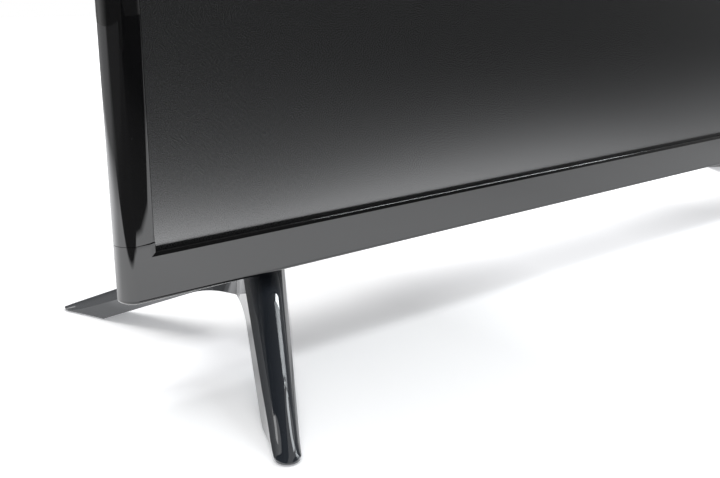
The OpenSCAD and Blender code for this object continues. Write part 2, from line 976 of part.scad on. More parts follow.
// Smoothing capacitors: a tall pair at the mains end, a slim pair at the other
module filter_capacitors() {
    mains_r = 11;
    mains_h = 30;
    second_r = 9;
    slim_r = 8;
    slim_h = 26;
    edge_gap = 5.5;
    mains_z = transformer_z + 6;
    slim_z = transformer_z - 19;
    color("#23272e") {
        on_board(1, board_w - edge_gap - mains_r, mains_z) can(mains_r, mains_h);
        on_board(1, board_w - edge_gap - mains_r, mains_z + mains_r + second_r + edge_gap)
            can(second_r, slim_h);
        for (s = [-1, 1])
            on_board(1, edge_gap + 1.5 * slim_r, slim_z + s * (slim_r + edge_gap / 2)) can(slim_r, slim_h);
    }
}

// Upright heatsink of the power switch
module power_heatsink() {
    w = 40;
    h = 28;
    plate = 3;
    fins = 5;
    fin_t = 2;
    fin_l = 8;
    pin_h = 4;
    color(steel_grey)
        on_board(1, board_w - w, transformer_z - 26) {
            chip(w, plate, h);
            for (i = [0:fins - 1])
                translate([(i / (fins - 1) - 0.5) * (w - 2 * fin_t), pin_h, fin_l / 2])
                    chip(fin_t, fin_l, h - pin_h);
        }
}

// Two-pin mains inlet, recessed in the housing's right-hand wall
module mains_inlet() {
    x1 = bulge_w / 2 - part_gap;
    y = pcb_face + inlet_t / 2;
    color(matte_black)
        difference() {
            block(
                [x1 - inlet_depth, pcb_face, inlet_z - inlet_w / 2],
                [x1, pcb_face + inlet_t, inlet_z + inlet_w / 2]
            );
            for (s = [-1, 1])
                rod_out([x1 + over, y, inlet_z + s * pin_pitch / 2], inlet_bore_r, inlet_bore_depth + over);
            block(
                [x1 - inlet_bore_depth, y - inlet_waist / 2, inlet_z - pin_pitch / 2],
                [x1 + over, y + inlet_waist / 2, inlet_z + pin_pitch / 2]
            );
        }
}

module inlet_pins() {
    x0 = bulge_w / 2 - part_gap - inlet_bore_depth;
    color(tin_plate)
        for (s = [-1, 1])
            rod_out([x0 + pin_l, pcb_face + inlet_t / 2, inlet_z + s * pin_pitch / 2], pin_r, pin_l);
}

// Screws of both boards
module board_screws() {
    color(steel_grey)
        each_board_screw() {
            rod_y([0, pcb_face, 0], board_head_r, board_head_h);
            rod_y([0, tray_y + board_screw_r, 0], board_screw_r, pcb_face - tray_y - board_screw_r);
        }
}

// Closed speaker box whose driver faces down
module speaker_box(side) {
    color(matte_black)
        difference() {
            block(
                [side > 0 ? speaker_x0 : -speaker_x1, speaker_y0, speaker_z0],
                [side > 0 ? speaker_x1 : -speaker_x0, speaker_y1, speaker_z0 + speaker_h]
            );
            block(
                [(side > 0 ? speaker_x0 : -speaker_x1) + speaker_wall, speaker_y0 + speaker_wall,
                    speaker_z0 + speaker_wall],
                [(side > 0 ? speaker_x1 : -speaker_x0) - speaker_wall, speaker_y1 - speaker_wall,
                    speaker_z0 + speaker_h - speaker_wall]
            );
            translate([side * speaker_x, speaker_y, speaker_z0 - over])
                cylinder(h = speaker_wall + 2 * over, r = driver_mouth_r);
        }
}

// Driver: flange, paper cone and magnet turned about one axis
module speaker_cone(side) {
    color("#3a3a3c")
        translate([side * speaker_x, speaker_y, speaker_z0 + speaker_wall])
            rotate_extrude()
                polygon([
                    [0, magnet_z - 1], [dust_cap_r, magnet_z - 1], [driver_mouth_r - 0.5, 0], [driver_r, 0],
                    [driver_r, driver_rim], [magnet_r, magnet_z], [magnet_r, driver_h], [0, driver_h]
                ]);
}

module speaker_box_left() {
    speaker_box(-1);
}

module speaker_box_right() {
    speaker_box(1);
}

module speaker_cone_left() {
    speaker_cone(-1);
}

module speaker_cone_right() {
    speaker_cone(1);
}

// Places of the wall-mount square
module each_vesa() {
    for (s = [-1, 1])
        for (z = [vesa_z0, vesa_z0 + vesa_pitch])
            translate([s * vesa_pitch / 2, 0, z]) children();
}

// Threaded posts between the tray and the cover
module vesa_posts() {
    end_y = bulge_in_y - part_gap;
    color(steel_grey)
        each_vesa()
            difference() {
                rod_y([0, tray_y, 0], vesa_r_post, end_y - tray_y);
                rod_y([0, end_y - vesa_thread, 0], vesa_r, vesa_thread + over);
            }
}

module each_key() {
    for (i = [1:key_count])
        translate([0, 0, (i - (key_count + 1) / 2) * key_pitch]) children();
}

// Board behind the keys
module key_board() {
    color(board_green)
        block(
            [key_x - key_pcb_w / 2, key_pcb_face - thin_pcb_t, key_z - key_pcb_l / 2],
            [key_x + key_pcb_w / 2, key_pcb_face, key_z + key_pcb_l / 2]
        );
}

// Push switches, one behind each key
module key_switches() {
    color(tin_plate)
        each_key() {
            block(
                [key_x - switch_w / 2, key_pcb_face, key_z - switch_w / 2],
                [key_x + switch_w / 2, switch_top - switch_button, key_z + switch_w / 2]
            );
            rod_y([key_x, key_pcb_face, key_z], switch_button_r, switch_h);
        }
}

// One key: cap through the cover, retaining flange and stem
module key(i) {
    z = key_z + i * key_pitch;
    flange_y1 = cover_in_y - part_gap;
    color(matte_black) {
        oblong_z(key_x, z, key_cap_w, key_cap_l, flange_y1 - key_flange_t, cover_y + key_proud);
        oblong_z(key_x, z, key_flange_w, key_flange_l, flange_y1 - key_flange_t, flange_y1);
        rod_y([key_x, key_stem_end, z], key_stem_r, flange_y1 - key_stem_end);
    }
}

module power_key() {
    key(3);
}

module source_key() {
    key(2);
}

module menu_key() {
    key(1);
}

module channel_up_key() {
    key(0);
}

module channel_down_key() {
    key(-1);
}

module volume_up_key() {
    key(-2);
}

module volume_down_key() {
    key(-3);
}

// Cover's wide shallow part, drawn in by i, with sloping sides and top
module cover_main(i) {
    y0 = i > 0 ? cover_y0 - over : cover_y0;
    y1 = cover_rim - i * (slope_k - 1) * slope_d / cover_slope;
    side_in = rim_inset + i;
    back_in = rim_inset + cover_slope - i * cover_slope / slope_d + i * slope_k;
    intersection() {
        along_z(cab_z + i, cab_top - side_in)
            polygon([
                [-half_w + side_in, y0], [-half_w + side_in, y1], [-half_w + back_in, cover_y - i],
                [half_w - back_in, cover_y - i], [half_w - side_in, y1], [half_w - side_in, y0]
            ]);
        along_x(-half_w, half_w)
            polygon([
                [y0, cab_z + i], [cover_y - i, cab_z + i], [cover_y - i, cab_top - back_in],
                [y1, cab_top - side_in], [y0, cab_top - side_in]
            ]);
    }
}

// Block on the back with round upright edges and a given side outline
module cover_block(i, half, back, r, side) {
    intersection() {
        along_z(cab_z + i, cab_z + bulge_h)
            mirror([0, 1, 0])
                front_rounded(-half + i, half - i, -back + i, -cover_rim, r - i, r - i);
        along_x(-half, half) polygon(side);
    }
}

// Lower skirt across the feet and speakers
module cover_skirt(i) {
    cover_block(i, foot_x + skirt_out, skirt_y, skirt_r, [
        [cover_rim, cab_z + i], [skirt_y - skirt_chamfer, cab_z + i],
        [skirt_y - i, cab_z + skirt_chamfer + i / 2], [skirt_y - i, cab_z + skirt_shoulder - i],
        [cover_y - i, cab_z + skirt_h - i], [cover_rim, cab_z + skirt_h - i]
    ]);
}

// Deep housing over the circuit boards
module cover_bulge(i) {
    cover_block(i, bulge_w / 2, bulge_y, bulge_r, [
        [cover_rim, cab_z + i], [skirt_y, cab_z + i], [bulge_y - i, cab_z + bulge_rise + i / 2],
        [bulge_y - i, cab_z + bulge_h - bulge_slope - i], [cover_y - i, cab_z + bulge_h - i],
        [cover_rim, cab_z + bulge_h - i]
    ]);
}

module cover_form(i) {
    cover_main(i);
    cover_skirt(i);
    cover_bulge(i);
}

// Openings for the sockets along the port wall
module port_cuts() {
    x0 = port_x - over;
    x1 = port_x + cover_wall + over;
    g = slide_gap;
    for (z = hdmi_z)
        block([x0, pcb_face - g, z - hdmi_w / 2 - g], [x1, pcb_face + hdmi_t + g, z + hdmi_w / 2 + g]);
    block([x0, pcb_face - g, usb_z - usb_w / 2 - g], [x1, pcb_face + usb_t + g, usb_z + usb_w / 2 + g]);
    for (z = av_z) rod_out([x1, pcb_face + round_port_rise, z], av_r + g, cover_wall + 2 * over);
    rod_out([x1, pcb_face + round_port_rise, antenna_z], antenna_r + g, cover_wall + 2 * over);
    rod_out([x1, pcb_face + headphone_rise, headphone_z], headphone_r + g, cover_wall + 2 * over);
    block(
        [bulge_w / 2 - cover_wall - over, pcb_face - g, inlet_z - inlet_w / 2 - g],
        [bulge_w / 2 + over, pcb_face + inlet_t + g, inlet_z + inlet_w / 2 + g]
    );
}

// Air slots in the housing's upper slope and lower edge, and sound slots below the speakers
module vent_cuts() {
    last = floor((bulge_w / 2 - vent_end) / vent_step);
    for (i = [-last:last]) {
        x = i * vent_step;
        block(
            [x - vent_w / 2, cover_y + vent_margin, cab_z + bulge_h - bulge_slope - 2 * cover_wall],
            [x + vent_w / 2, bulge_y - vent_margin, cab_z + bulge_h + over]
        );
        block(
            [x - vent_w / 2, skirt_y + low_vent_in, cab_z - over],
            [x + vent_w / 2, bulge_y - low_vent_out, cab_z + bulge_rise + over]
        );
    }
    for (s = [-1, 1])
        for (i = [-(sound_slots - 1) / 2:(sound_slots - 1) / 2])
            block(
                [s * speaker_x + i * sound_step - vent_w / 2, speaker_y - sound_l / 2, cab_z - over],
                [s * speaker_x + i * sound_step + vent_w / 2, speaker_y + sound_l / 2, speaker_z0 + part_gap]
            );
}

// Screw places of both feet
module each_foot_screw() {
    for (s = [-1, 1])
        for (t = [-1, 1])
            translate([s * foot_screw_x, t * foot_screw_y, 0]) children();
}

// Moulded rear cover
module rear_cover() {
    color(matte_black)
        difference() {
            union() {
                difference() {
                    cover_form(0);
                    cover_form(cover_wall);
                }
                each_cover_screw()
                    rod_y([0, tray_y + part_gap, 0], cover_post_r, cover_d - part_gap - cover_wall / 2);
                each_foot_screw()
                    translate([0, 0, cab_z + cover_wall / 2])
                        cylinder(h = foot_boss_h - cover_wall / 2, r = foot_boss_r);
                for (s = [-1, 1])
                    rod_y(
                        [key_x, key_pcb_face, key_z + s * (key_pcb_l / 2 - key_post_r)],
                        key_post_r, cover_y - key_pcb_face - cover_wall / 2
                    );
            }
            each_cover_screw() {
                rod_y([0, tray_y, 0], cover_screw_r + screw_gap, cover_d + over);
                rod_y([0, cover_screw_seat, 0], cover_well_r, cover_d + over);
            }
            each_foot_screw()
                translate([0, 0, cab_z - over])
                    cylinder(h = foot_boss_h + over - foot_boss_end, r = foot_screw_r + screw_gap);
            each_vesa() rod_y([0, bulge_in_y - over, 0], vesa_r, cover_wall + 2 * over);
            each_key()
                oblong_z(
                    key_x, key_z, key_cap_w + 2 * slide_gap, key_cap_l + 2 * slide_gap,
                    cover_in_y - over, cover_y + over
                );
            port_cuts();
            vent_cuts();
        }
}

// Screws that hold the cover on the tray
module rear_cover_screws() {
    color(steel_grey)
        each_cover_screw() {
            rod_y([0, cover_screw_seat, 0], cover_head_r, cover_head_h);
            rod_y([0, cover_screw_tip, 0], cover_screw_r, cover_screw_seat - cover_screw_tip);
        }
}

// Leg along local X from the crest out to its tip, before the arch is cut
module leg_body() {
    u0 = -14;
    u1 = leg_len + 12;
    run = u1 - u0;
    drop = dome_z(u0) - dome_z(u1);
    tip_r = leg_tip_w / 2;
    tip_u = leg_len - tip_r;
    mitre = leg_root_w / 2 * tan(leg_splay);
    intersection() {
        linear_extrude(foot_h) {
            polygon([
                [-mitre - mitre_lap, -leg_root_w / 2], [tip_u, -tip_r],
                [tip_u, tip_r], [mitre - mitre_lap, leg_root_w / 2]
            ]);
            translate([tip_u, 0]) circle(tip_r);
        }
        union() {
            translate([u0, 0, dome_z(u0)])
                rotate([0, 90 + atan2(drop, run), 0])
                    cylinder(
                        h = norm([run, drop]), $fn = 96,
                        r1 = dome_ratio * leg_w(u0), r2 = dome_ratio * leg_w(u1)
                    );
            rotate([90, 0, 0])
                translate([0, 0, -leg_root_w])
                    linear_extrude(2 * leg_root_w)
                        polygon([
                            [u0, -leg_root_w], [u1, -leg_root_w],
                            [u1, dome_z(u1) - wall_lap], [u0, dome_z(u0) - wall_lap]
                        ]);
        }
    }
}

// Space under a leg: flat crown, round shoulder and straight flank down to the floor
module leg_arch() {
    rotate([90, 0, 0])
        translate([0, 0, -leg_root_w])
            linear_extrude(2 * leg_root_w) {
                polygon([
                    [-leg_root_w, -over], [-leg_root_w, arch_z], [arch_mid_u, arch_z],
                    [arch_end_u, arch_end_z], [arch_foot, 0], [arch_foot, -over]
                ]);
                translate([arch_mid_u, arch_z - arch_r]) circle(arch_r, $fn = 96);
            }
}

// Both legs of one foot, drawn about its crest and leaning towards -X
module both_legs() {
    for (t = [0, 1])
        mirror([0, t, 0])
            rotate([0, 0, 90 + leg_splay])
                difference() {
                    leg_body();
                    leg_arch();
                }
}

// Pad recess or pad under each tip, drawn about the foot's crest
module each_pad() {
    for (t = [0, 1])
        mirror([0, t, 0])
            rotate([0, 0, 90 + leg_splay])
                translate([pad_at, 0, 0]) children();
}

module pad_form(l, w, z0, z1) {
    translate([0, 0, z0]) linear_extrude(z1 - z0) {
        square([l - w, w], center = true);
        for (s = [-1, 1]) translate([s * (l - w) / 2, 0]) circle(w / 2);
    }
}

// Web that rounds the corner between the outer flanks of both legs
module leg_web() {
    difference() {
        block([-web_x, -web_end, web_low], [0, web_end, web_top]);
        translate([-web_x, 0, web_low - over]) cylinder(h = web_top - web_low + 2 * over, r = web_r);
    }
}

// Foot: two domed legs that meet under the cabinet and are screwed to it
module foot_form() {
    difference() {
        union() {
            both_legs();
            leg_web();
        }
        block([-2 * leg_len, -2 * leg_len, -over], [leg_len, 2 * leg_len, pad_drop]);
        each_pad() pad_form(pad_len + 2 * part_gap, pad_w + 2 * part_gap, 0, pad_drop + pad_recess);
        for (t = [-1, 1])
            translate([foot_x - foot_screw_x, t * foot_screw_y, 0]) {
                cylinder(h = foot_h + over, r = foot_screw_r + screw_gap);
                cylinder(h = foot_screw_seat, r = foot_head_r + slide_gap);
            }
    }
}

module left_foot() {
    color(gloss_black) translate([-foot_x, 0, 0]) foot_form();
}

module right_foot() {
    color(gloss_black) mirror([1, 0, 0]) translate([-foot_x, 0, 0]) foot_form();
}

// Rubber pads under the four tips
module foot_pads() {
    color(rubber_black)
        for (s = [0, 1])
            mirror([s, 0, 0])
                translate([-foot_x, 0, 0])
                    each_pad() pad_form(pad_len, pad_w, 0, pad_drop + pad_recess);
}

// Screws that hold the feet, driven up from below
module foot_screws() {
    color(steel_grey)
        each_foot_screw() {
            translate([0, 0, foot_screw_seat - foot_head_h]) cylinder(h = foot_head_h, r = foot_head_r);
            translate([0, 0, foot_screw_seat - head_lap]) cylinder(h = foot_screw_len, r = foot_screw_r);
        }
}

side_frame();
bottom_trim();
ir_window();
ir_board();
lcd_cell();
panel_frame();
prism_film();
diffuser_film();
diffuser_plate();
reflector_sheet();
led_lenses();
led_bars();
backlight_tray();
source_board();
panel_ribbon();
main_board();
processor_heatsink();
tuner_can();
hdmi_sockets();
usb_socket();
av_jacks();
antenna_socket();
headphone_jack();
power_board();
power_transformer();
filter_capacitors();
power_heatsink();
mains_inlet();
inlet_pins();
board_screws();
speaker_box_left();
speaker_box_right();
speaker_cone_left();
speaker_cone_right();
vesa_posts();
key_board();
key_switches();
power_key();
source_key();
menu_key();
channel_down_key();
channel_up_key();
volume_down_key();
volume_up_key();
rear_cover();
rear_cover_screws();
left_foot();
right_foot();
foot_pads();
foot_screws();
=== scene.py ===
from math import atan2, cos, pi, radians, sin, sqrt, tan

import bmesh
import bpy
from mathutils import Matrix, Vector


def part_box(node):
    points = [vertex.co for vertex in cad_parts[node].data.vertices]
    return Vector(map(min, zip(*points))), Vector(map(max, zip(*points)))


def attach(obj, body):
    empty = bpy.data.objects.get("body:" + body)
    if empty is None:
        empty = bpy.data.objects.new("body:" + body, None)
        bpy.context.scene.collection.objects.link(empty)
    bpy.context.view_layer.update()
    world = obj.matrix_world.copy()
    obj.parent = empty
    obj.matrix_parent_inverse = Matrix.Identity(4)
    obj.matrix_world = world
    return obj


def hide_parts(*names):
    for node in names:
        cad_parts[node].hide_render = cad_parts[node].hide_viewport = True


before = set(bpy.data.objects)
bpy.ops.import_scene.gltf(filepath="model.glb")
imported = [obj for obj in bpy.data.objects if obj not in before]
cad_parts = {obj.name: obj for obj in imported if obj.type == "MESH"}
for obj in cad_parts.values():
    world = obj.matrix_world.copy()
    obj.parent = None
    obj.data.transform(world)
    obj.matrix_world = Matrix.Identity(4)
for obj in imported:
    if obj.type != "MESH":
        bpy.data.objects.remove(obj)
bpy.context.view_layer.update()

# Camera: a normal lens close to the lower left corner of the set, a little above
# the trim, turned to the right and tipped down.
CAMERA_PLACE = (-0.522233, -0.382566, 0.194107)
CAMERA_TURN, CAMERA_TIP, CAMERA_LEAN = radians(-39.32), radians(73.175), radians(0.359)
LENS_LENGTH, SENSOR_WIDTH = 45.662, 36.0
NEAREST = 0.01
scene = bpy.context.scene
scene.view_settings.view_transform = "Standard"
camera_lens = bpy.data.cameras.new("camera")
camera_lens.sensor_width = SENSOR_WIDTH
camera_lens.lens = LENS_LENGTH
camera_lens.clip_start = NEAREST
camera = bpy.data.objects.new("camera", camera_lens)
camera.location = CAMERA_PLACE
turned = Matrix.Rotation(CAMERA_TURN, 3, "Z")
tipped = Matrix.Rotation(CAMERA_TIP, 3, "X")
leaned = Matrix.Rotation(CAMERA_LEAN, 3, "Z")
camera.rotation_euler = (turned @ tipped @ leaned).to_euler()
scene.collection.objects.link(camera)
scene.camera = camera


# Backlight tray: pressed from zinc-coated steel sheet, with beads and standoffs.
# Everything inside the set is fixed to it, the wall-mount posts too.
mm = 0.001


def linear(hex_colour):
    """Linear RGBA of an sRGB hex colour."""
    parts = [int(hex_colour[i:i + 2], 16) / 255 for i in (1, 3, 5)]
    return (*[p / 12.92 if p <= 0.04045 else ((p + 0.055) / 1.055) ** 2.4 for p in parts], 1.0)


def new_material(name, **values):
    """A material with uniform values on its shader's own sockets; gives it and the shader."""
    material = bpy.data.materials.new(name)
    material.use_nodes = True
    shader = material.node_tree.nodes["Principled BSDF"]
    for socket, value in values.items():
        shader.inputs[socket.replace("_", " ")].default_value = value
    return material, shader


def add_node(material, kind, settings=None, links=None, to=None):
    """Adds a node with its settings and input links, and links its first output to a socket."""
    tree = material.node_tree
    node = tree.nodes.new(kind)
    for name, value in (settings or {}).items():
        if isinstance(name, int) or name in node.inputs:
            node.inputs[name].default_value = value
        else:
            setattr(node, name, value)
    for name, output in (links or {}).items():
        tree.links.new(output, node.inputs[name])
    if to is not None:
        tree.links.new(node.outputs[0], to)
    return node


def per_metre(size):
    """Texture scale of a pattern whose features are that many metres across."""
    return 1.0 / size


def dress(material, *names):
    """Gives CAD nodes a material."""
    for name in names:
        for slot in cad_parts[name].material_slots:
            slot.material = material


# zinc-coated steel: grey crystals about 6 mm across, dull metal
zinc_steel, shader = new_material("zinc_coated_steel", Metallic=1.0)
where = add_node(zinc_steel, "ShaderNodeTexCoord")
crystal = add_node(
    zinc_steel, "ShaderNodeTexVoronoi", {"Scale": per_metre(6 * mm)},
    {"Vector": where.outputs["Object"]})
tone = add_node(
    zinc_steel, "ShaderNodeValToRGB", links={"Fac": crystal.outputs["Color"]},
    to=shader.inputs["Base Color"])
tone.color_ramp.elements[0].color = linear("#8d9296")
tone.color_ramp.elements[1].color = linear("#b7bcc0")
add_node(
    zinc_steel, "ShaderNodeMapRange", {"To Min": 0.32, "To Max": 0.5},
    {"Value": crystal.outputs["Color"]}, to=shader.inputs["Roughness"])
dress(zinc_steel, "backlight_tray", "vesa_posts")


# Lamp strips, their spreading lenses and the white dish: coated aluminium strips
# riveted to the tray, clear acrylic lenses, and a vacuum-formed foam sheet.
CLOUD_DARK, CLOUD_LIGHT = 0.3, 0.7


def mottled(name, dark, light, grain, smooth, rough, **values):
    """A material whose colour and roughness vary softly, in grains of a real size."""
    material, shader = new_material(name, **values)
    where = add_node(material, "ShaderNodeTexCoord")
    noise = add_node(
        material, "ShaderNodeTexNoise", {"Scale": per_metre(grain), "Detail": 3.0},
        {"Vector": where.outputs["Object"]})
    tone = add_node(
        material, "ShaderNodeValToRGB", links={"Fac": noise.outputs["Fac"]},
        to=shader.inputs["Base Color"])
    first, last = tone.color_ramp.elements
    first.color, first.position = linear(dark), CLOUD_DARK
    last.color, last.position = linear(light), CLOUD_LIGHT
    add_node(
        material, "ShaderNodeMapRange", {"To Min": smooth, "To Max": rough},
        {"Value": noise.outputs["Fac"]}, to=shader.inputs["Roughness"])
    return material


# white lacquer on aluminium: clean, faintly uneven, half gloss
white_lacquer = mottled(
    "white_lacquered_aluminium", "#e9eae6", "#f6f6f3", grain=8 * mm, smooth=0.3, rough=0.42)
dress(white_lacquer, "led_bars")

# clear acrylic: moulded, with a very slight haze in spots of 2 mm
clear_acrylic = mottled(
    "clear_acrylic", "#e9eff3", "#f5f8fa", grain=2 * mm, smooth=0.03, rough=0.12,
    IOR=1.49, Transmission_Weight=0.9)
dress(clear_acrylic, "led_lenses", "prism_film")

# white polyester: soft and matt, with a faint cloudiness some 20 mm across
white_polyester = mottled(
    "white_polyester_sheet", "#e6e6e1", "#f6f6f2", grain=20 * mm, smooth=0.42, rough=0.55, IOR=1.58)
dress(white_polyester, "reflector_sheet", "diffuser_film", "diffuser_plate", "panel_ribbon")


# Screen: the liquid crystal cell with its front polariser, held by a moulded frame.
# The polariser has a matt anti-glare face, so it mirrors only blurred light and dark.

# anti-glare film: near black, with a fine grain that is drawn 0.5 mm coarse to show;
# its index is set high, to mirror as broad and pale a glare as the rough layer does
screen_film, shader = new_material("anti_glare_polariser", Base_Color=linear("#0f1012"), IOR=3.0)
where = add_node(screen_film, "ShaderNodeTexCoord")
grain = add_node(
    screen_film, "ShaderNodeTexNoise", {"Scale": per_metre(0.5 * mm), "Detail": 2.0},
    {"Vector": where.outputs["Object"]})
add_node(
    screen_film, "ShaderNodeMapRange", {"To Min": 0.25, "To Max": 0.3},
    {"Value": grain.outputs["Fac"]}, to=shader.inputs["Roughness"])

# the film stops short of the frame at both sides, and the bare black glass there mirrors less
FILM_EDGE, FILM_BLUR = 5.4 * mm, 0.2 * mm
FILM_SHINE, GLASS_SHINE = 0.5, 0.056
cell_low, cell_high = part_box("lcd_cell")
film_x = cell_high.x - FILM_EDGE
place = add_node(screen_film, "ShaderNodeSeparateXYZ", links={0: where.outputs["Object"]})
off_centre = add_node(
    screen_film, "ShaderNodeMath", {"operation": "ABSOLUTE"}, {0: place.outputs["X"]})
add_node(
    screen_film, "ShaderNodeMapRange", {
        "From Min": film_x, "From Max": film_x + FILM_BLUR,
        "To Min": FILM_SHINE, "To Max": GLASS_SHINE},
    {"Value": off_centre.outputs[0]}, to=shader.inputs["Specular IOR Level"])
dress(screen_film, "lcd_cell")

# textured ABS: black, a little uneven over 60 mm, with a spark-eroded face of 0.8 mm grains
textured_abs, shader = new_material("textured_black_abs", IOR=1.52)
where = add_node(textured_abs, "ShaderNodeTexCoord")
cloud = add_node(
    textured_abs, "ShaderNodeTexNoise", {"Scale": per_metre(60 * mm), "Detail": 3.0},
    {"Vector": where.outputs["Object"]})
tone = add_node(
    textured_abs, "ShaderNodeValToRGB", links={"Fac": cloud.outputs["Fac"]},
    to=shader.inputs["Base Color"])
first, last = tone.color_ramp.elements
first.color, first.position = linear("#1a1b1d"), CLOUD_DARK
last.color, last.position = linear("#232426"), CLOUD_LIGHT
grain = add_node(
    textured_abs, "ShaderNodeTexNoise",
    {"Scale": per_metre(0.8 * mm), "Detail": 3.0, "Roughness": 0.6},
    {"Vector": where.outputs["Object"]})
add_node(
    textured_abs, "ShaderNodeMapRange", {"To Min": 0.4, "To Max": 0.62},
    {"Value": grain.outputs["Fac"]}, to=shader.inputs["Roughness"])
add_node(
    textured_abs, "ShaderNodeBump", {"Strength": 0.5, "Distance": 0.06 * mm},
    {"Height": grain.outputs["Fac"]}, to=shader.inputs["Normal"])
dress(textured_abs, "panel_frame")


# Circuit boards: glass-fibre sheet under green lacquer, with copper tracks below it.
# They are screwed to the tray's standoffs and carry the heatsinks, coils and sockets.

# lacquered board: green, with tracks a shade lighter, drawn 40 mm apart
board_lacquer, shader = new_material("green_board_lacquer", Roughness=0.32, IOR=1.55)
where = add_node(board_lacquer, "ShaderNodeTexCoord")
add_node(
    board_lacquer, "ShaderNodeTexBrick", {
        "Scale": per_metre(40 * mm), "Mortar Size": 0.012, "Color1": linear("#1d5a38"),
        "Color2": linear("#1a5233"), "Mortar": linear("#2f7a50")},
    {"Vector": where.outputs["Object"]}, to=shader.inputs["Base Color"])
dress(board_lacquer, "ir_board", "source_board", "main_board", "power_board", "key_board")

# extruded aluminium: bright fins with drawn lines 0.4 mm apart, and the same anodised black
bare_aluminium = mottled(
    "extruded_aluminium", "#aeb2b6", "#c3c6ca", grain=0.4 * mm, smooth=0.3, rough=0.45,
    Metallic=1.0)
black_aluminium = mottled(
    "black_anodised_aluminium", "#17181a", "#26272a", grain=0.4 * mm, smooth=0.35, rough=0.5,
    Metallic=0.6)
dress(bare_aluminium, "power_heatsink")
dress(black_aluminium, "processor_heatsink")

# pressed ferrite: dark grey ceramic, dull, mottled in patches of 3 mm
ferrite = mottled(
    "pressed_ferrite", "#343436", "#47474a", grain=3 * mm, smooth=0.5, rough=0.7, IOR=1.6)
dress(ferrite, "power_transformer")

# shrink sleeve: near-black film with a soft shine
shrink_sleeve = mottled(
    "capacitor_shrink_sleeve", "#1c2026", "#2a2f37", grain=5 * mm, smooth=0.25, rough=0.4, IOR=1.53)
dress(shrink_sleeve, "filter_capacitors")

# zinc-plated screws: bright steel with a faint bloom
plated_steel = mottled(
    "zinc_plated_steel", "#a7abb0", "#c6cacf", grain=1.5 * mm, smooth=0.22, rough=0.4, Metallic=1.0)
dress(plated_steel, "board_screws")


# Sockets: tin-plated shells and barrels pressed from sheet, soldered to the boards.
# Their mouths come through the walls of the rear cover.

# tin plate: bright grey metal with a soft bloom 1.5 mm across
tin_plate = mottled(
    "tin_plate", "#c0c4c8", "#d3d6da", grain=1.5 * mm, smooth=0.18, rough=0.36, Metallic=1.0)
dress(
    tin_plate, "hdmi_sockets", "usb_socket", "tuner_can", "key_switches", "antenna_socket",
    "inlet_pins")
dress(textured_abs, "mains_inlet", "headphone_jack")

# plated brass: warm and bright
plated_brass = mottled(
    "plated_brass", "#bf9843", "#d3ad55", grain=1.5 * mm, smooth=0.15, rough=0.3, Metallic=1.0)
dress(plated_brass, "av_jacks")


def new_piece(name, shape, material, slot, *nodes, body="cabinet"):
    """Makes a piece from a bmesh, on a body and in place of CAD nodes."""
    mesh = bpy.data.meshes.new(name)
    bmesh.ops.recalc_face_normals(shape, faces=shape.faces)
    shape.to_mesh(mesh)
    shape.free()
    for face in mesh.polygons:
        face.use_smooth = True
    mesh.materials.append(material)
    piece = bpy.data.objects.new(name, mesh)
    scene.collection.objects.link(piece)
    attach(piece, body)
    if nodes:
        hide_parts(*nodes)
    return piece


# nylon inserts in the mouths of the phono jacks, one colour each: satin, a little cloudy
JACK_INSET, JACK_PITCH, JACK_RISE = 6.5 * mm, 14 * mm, 8 * mm
INSERT_IN, INSERT_OUT, INSERT_THICK = 1.75 * mm, 3.3 * mm, 0.3 * mm
INSERT_STEPS = 28
INSERT_COLOURS = (
    ("yellow", "#d9a514", "#e8b828"),
    ("white", "#dcdcd8", "#efefec"),
    ("red", "#9c1f1c", "#b32a26"))
jack_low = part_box("av_jacks")[0]
for row, (colour, dark, light) in enumerate(INSERT_COLOURS):
    nylon = mottled(
        colour + "_nylon", dark, light, grain=2 * mm, smooth=0.35, rough=0.5, IOR=1.53)
    middle = jack_low + Vector((-INSERT_THICK / 2, JACK_RISE, JACK_INSET + row * JACK_PITCH))
    shape = bmesh.new()
    inner = shape.verts.new(middle + Vector((0.0, 0.0, INSERT_IN)))
    outer = shape.verts.new(middle + Vector((0.0, 0.0, INSERT_OUT)))
    rim = shape.edges.new((inner, outer))
    bmesh.ops.spin(
        shape, geom=[inner, outer, rim], cent=middle, axis=(1.0, 0.0, 0.0), angle=2 * pi,
        steps=INSERT_STEPS, use_merge=True)
    bmesh.ops.recalc_face_normals(shape, faces=shape.faces)
    bmesh.ops.solidify(shape, geom=shape.faces[:], thickness=INSERT_THICK)
    new_piece("jack_insert_" + colour, shape, nylon, "white_plastic")


# Speakers: closed moulded boxes low down behind the trim, each with a paper cone that
# faces down and sounds through slots in the cover's floor.
dress(textured_abs, "speaker_box_left", "speaker_box_right")

# pressed paper: dark grey felted fibre, in flecks of 1 mm
cone_paper = mottled("pressed_paper", "#2d2d2f", "#464648", grain=1 * mm, smooth=0.75, rough=0.95)
dress(cone_paper, "speaker_cone_left", "speaker_cone_right")


# Front frame: one piano-black moulding round the left, top and right of the picture,
# and a separate trim below it that wraps both lower corners. Both snap on to the panel frame.
def round_edges(shape, edges, radius, segments):
    """Rounds the edges of a bmesh to a radius."""
    bmesh.ops.bevel(
        shape, geom=list(edges), offset=radius, segments=segments, profile=0.5, affect="EDGES",
        material=-1)


def finish_edges(piece, width, angle):
    """Breaks the edges of a piece that are sharper than so many degrees, and evens its shading."""
    bevel = piece.modifiers.new("broken_edges", "BEVEL")
    bevel.width = width
    bevel.segments = 2
    bevel.limit_method = "ANGLE"
    bevel.angle_limit = radians(angle)
    even = piece.modifiers.new("even_shading", "WEIGHTED_NORMAL")
    even.keep_sharp = True


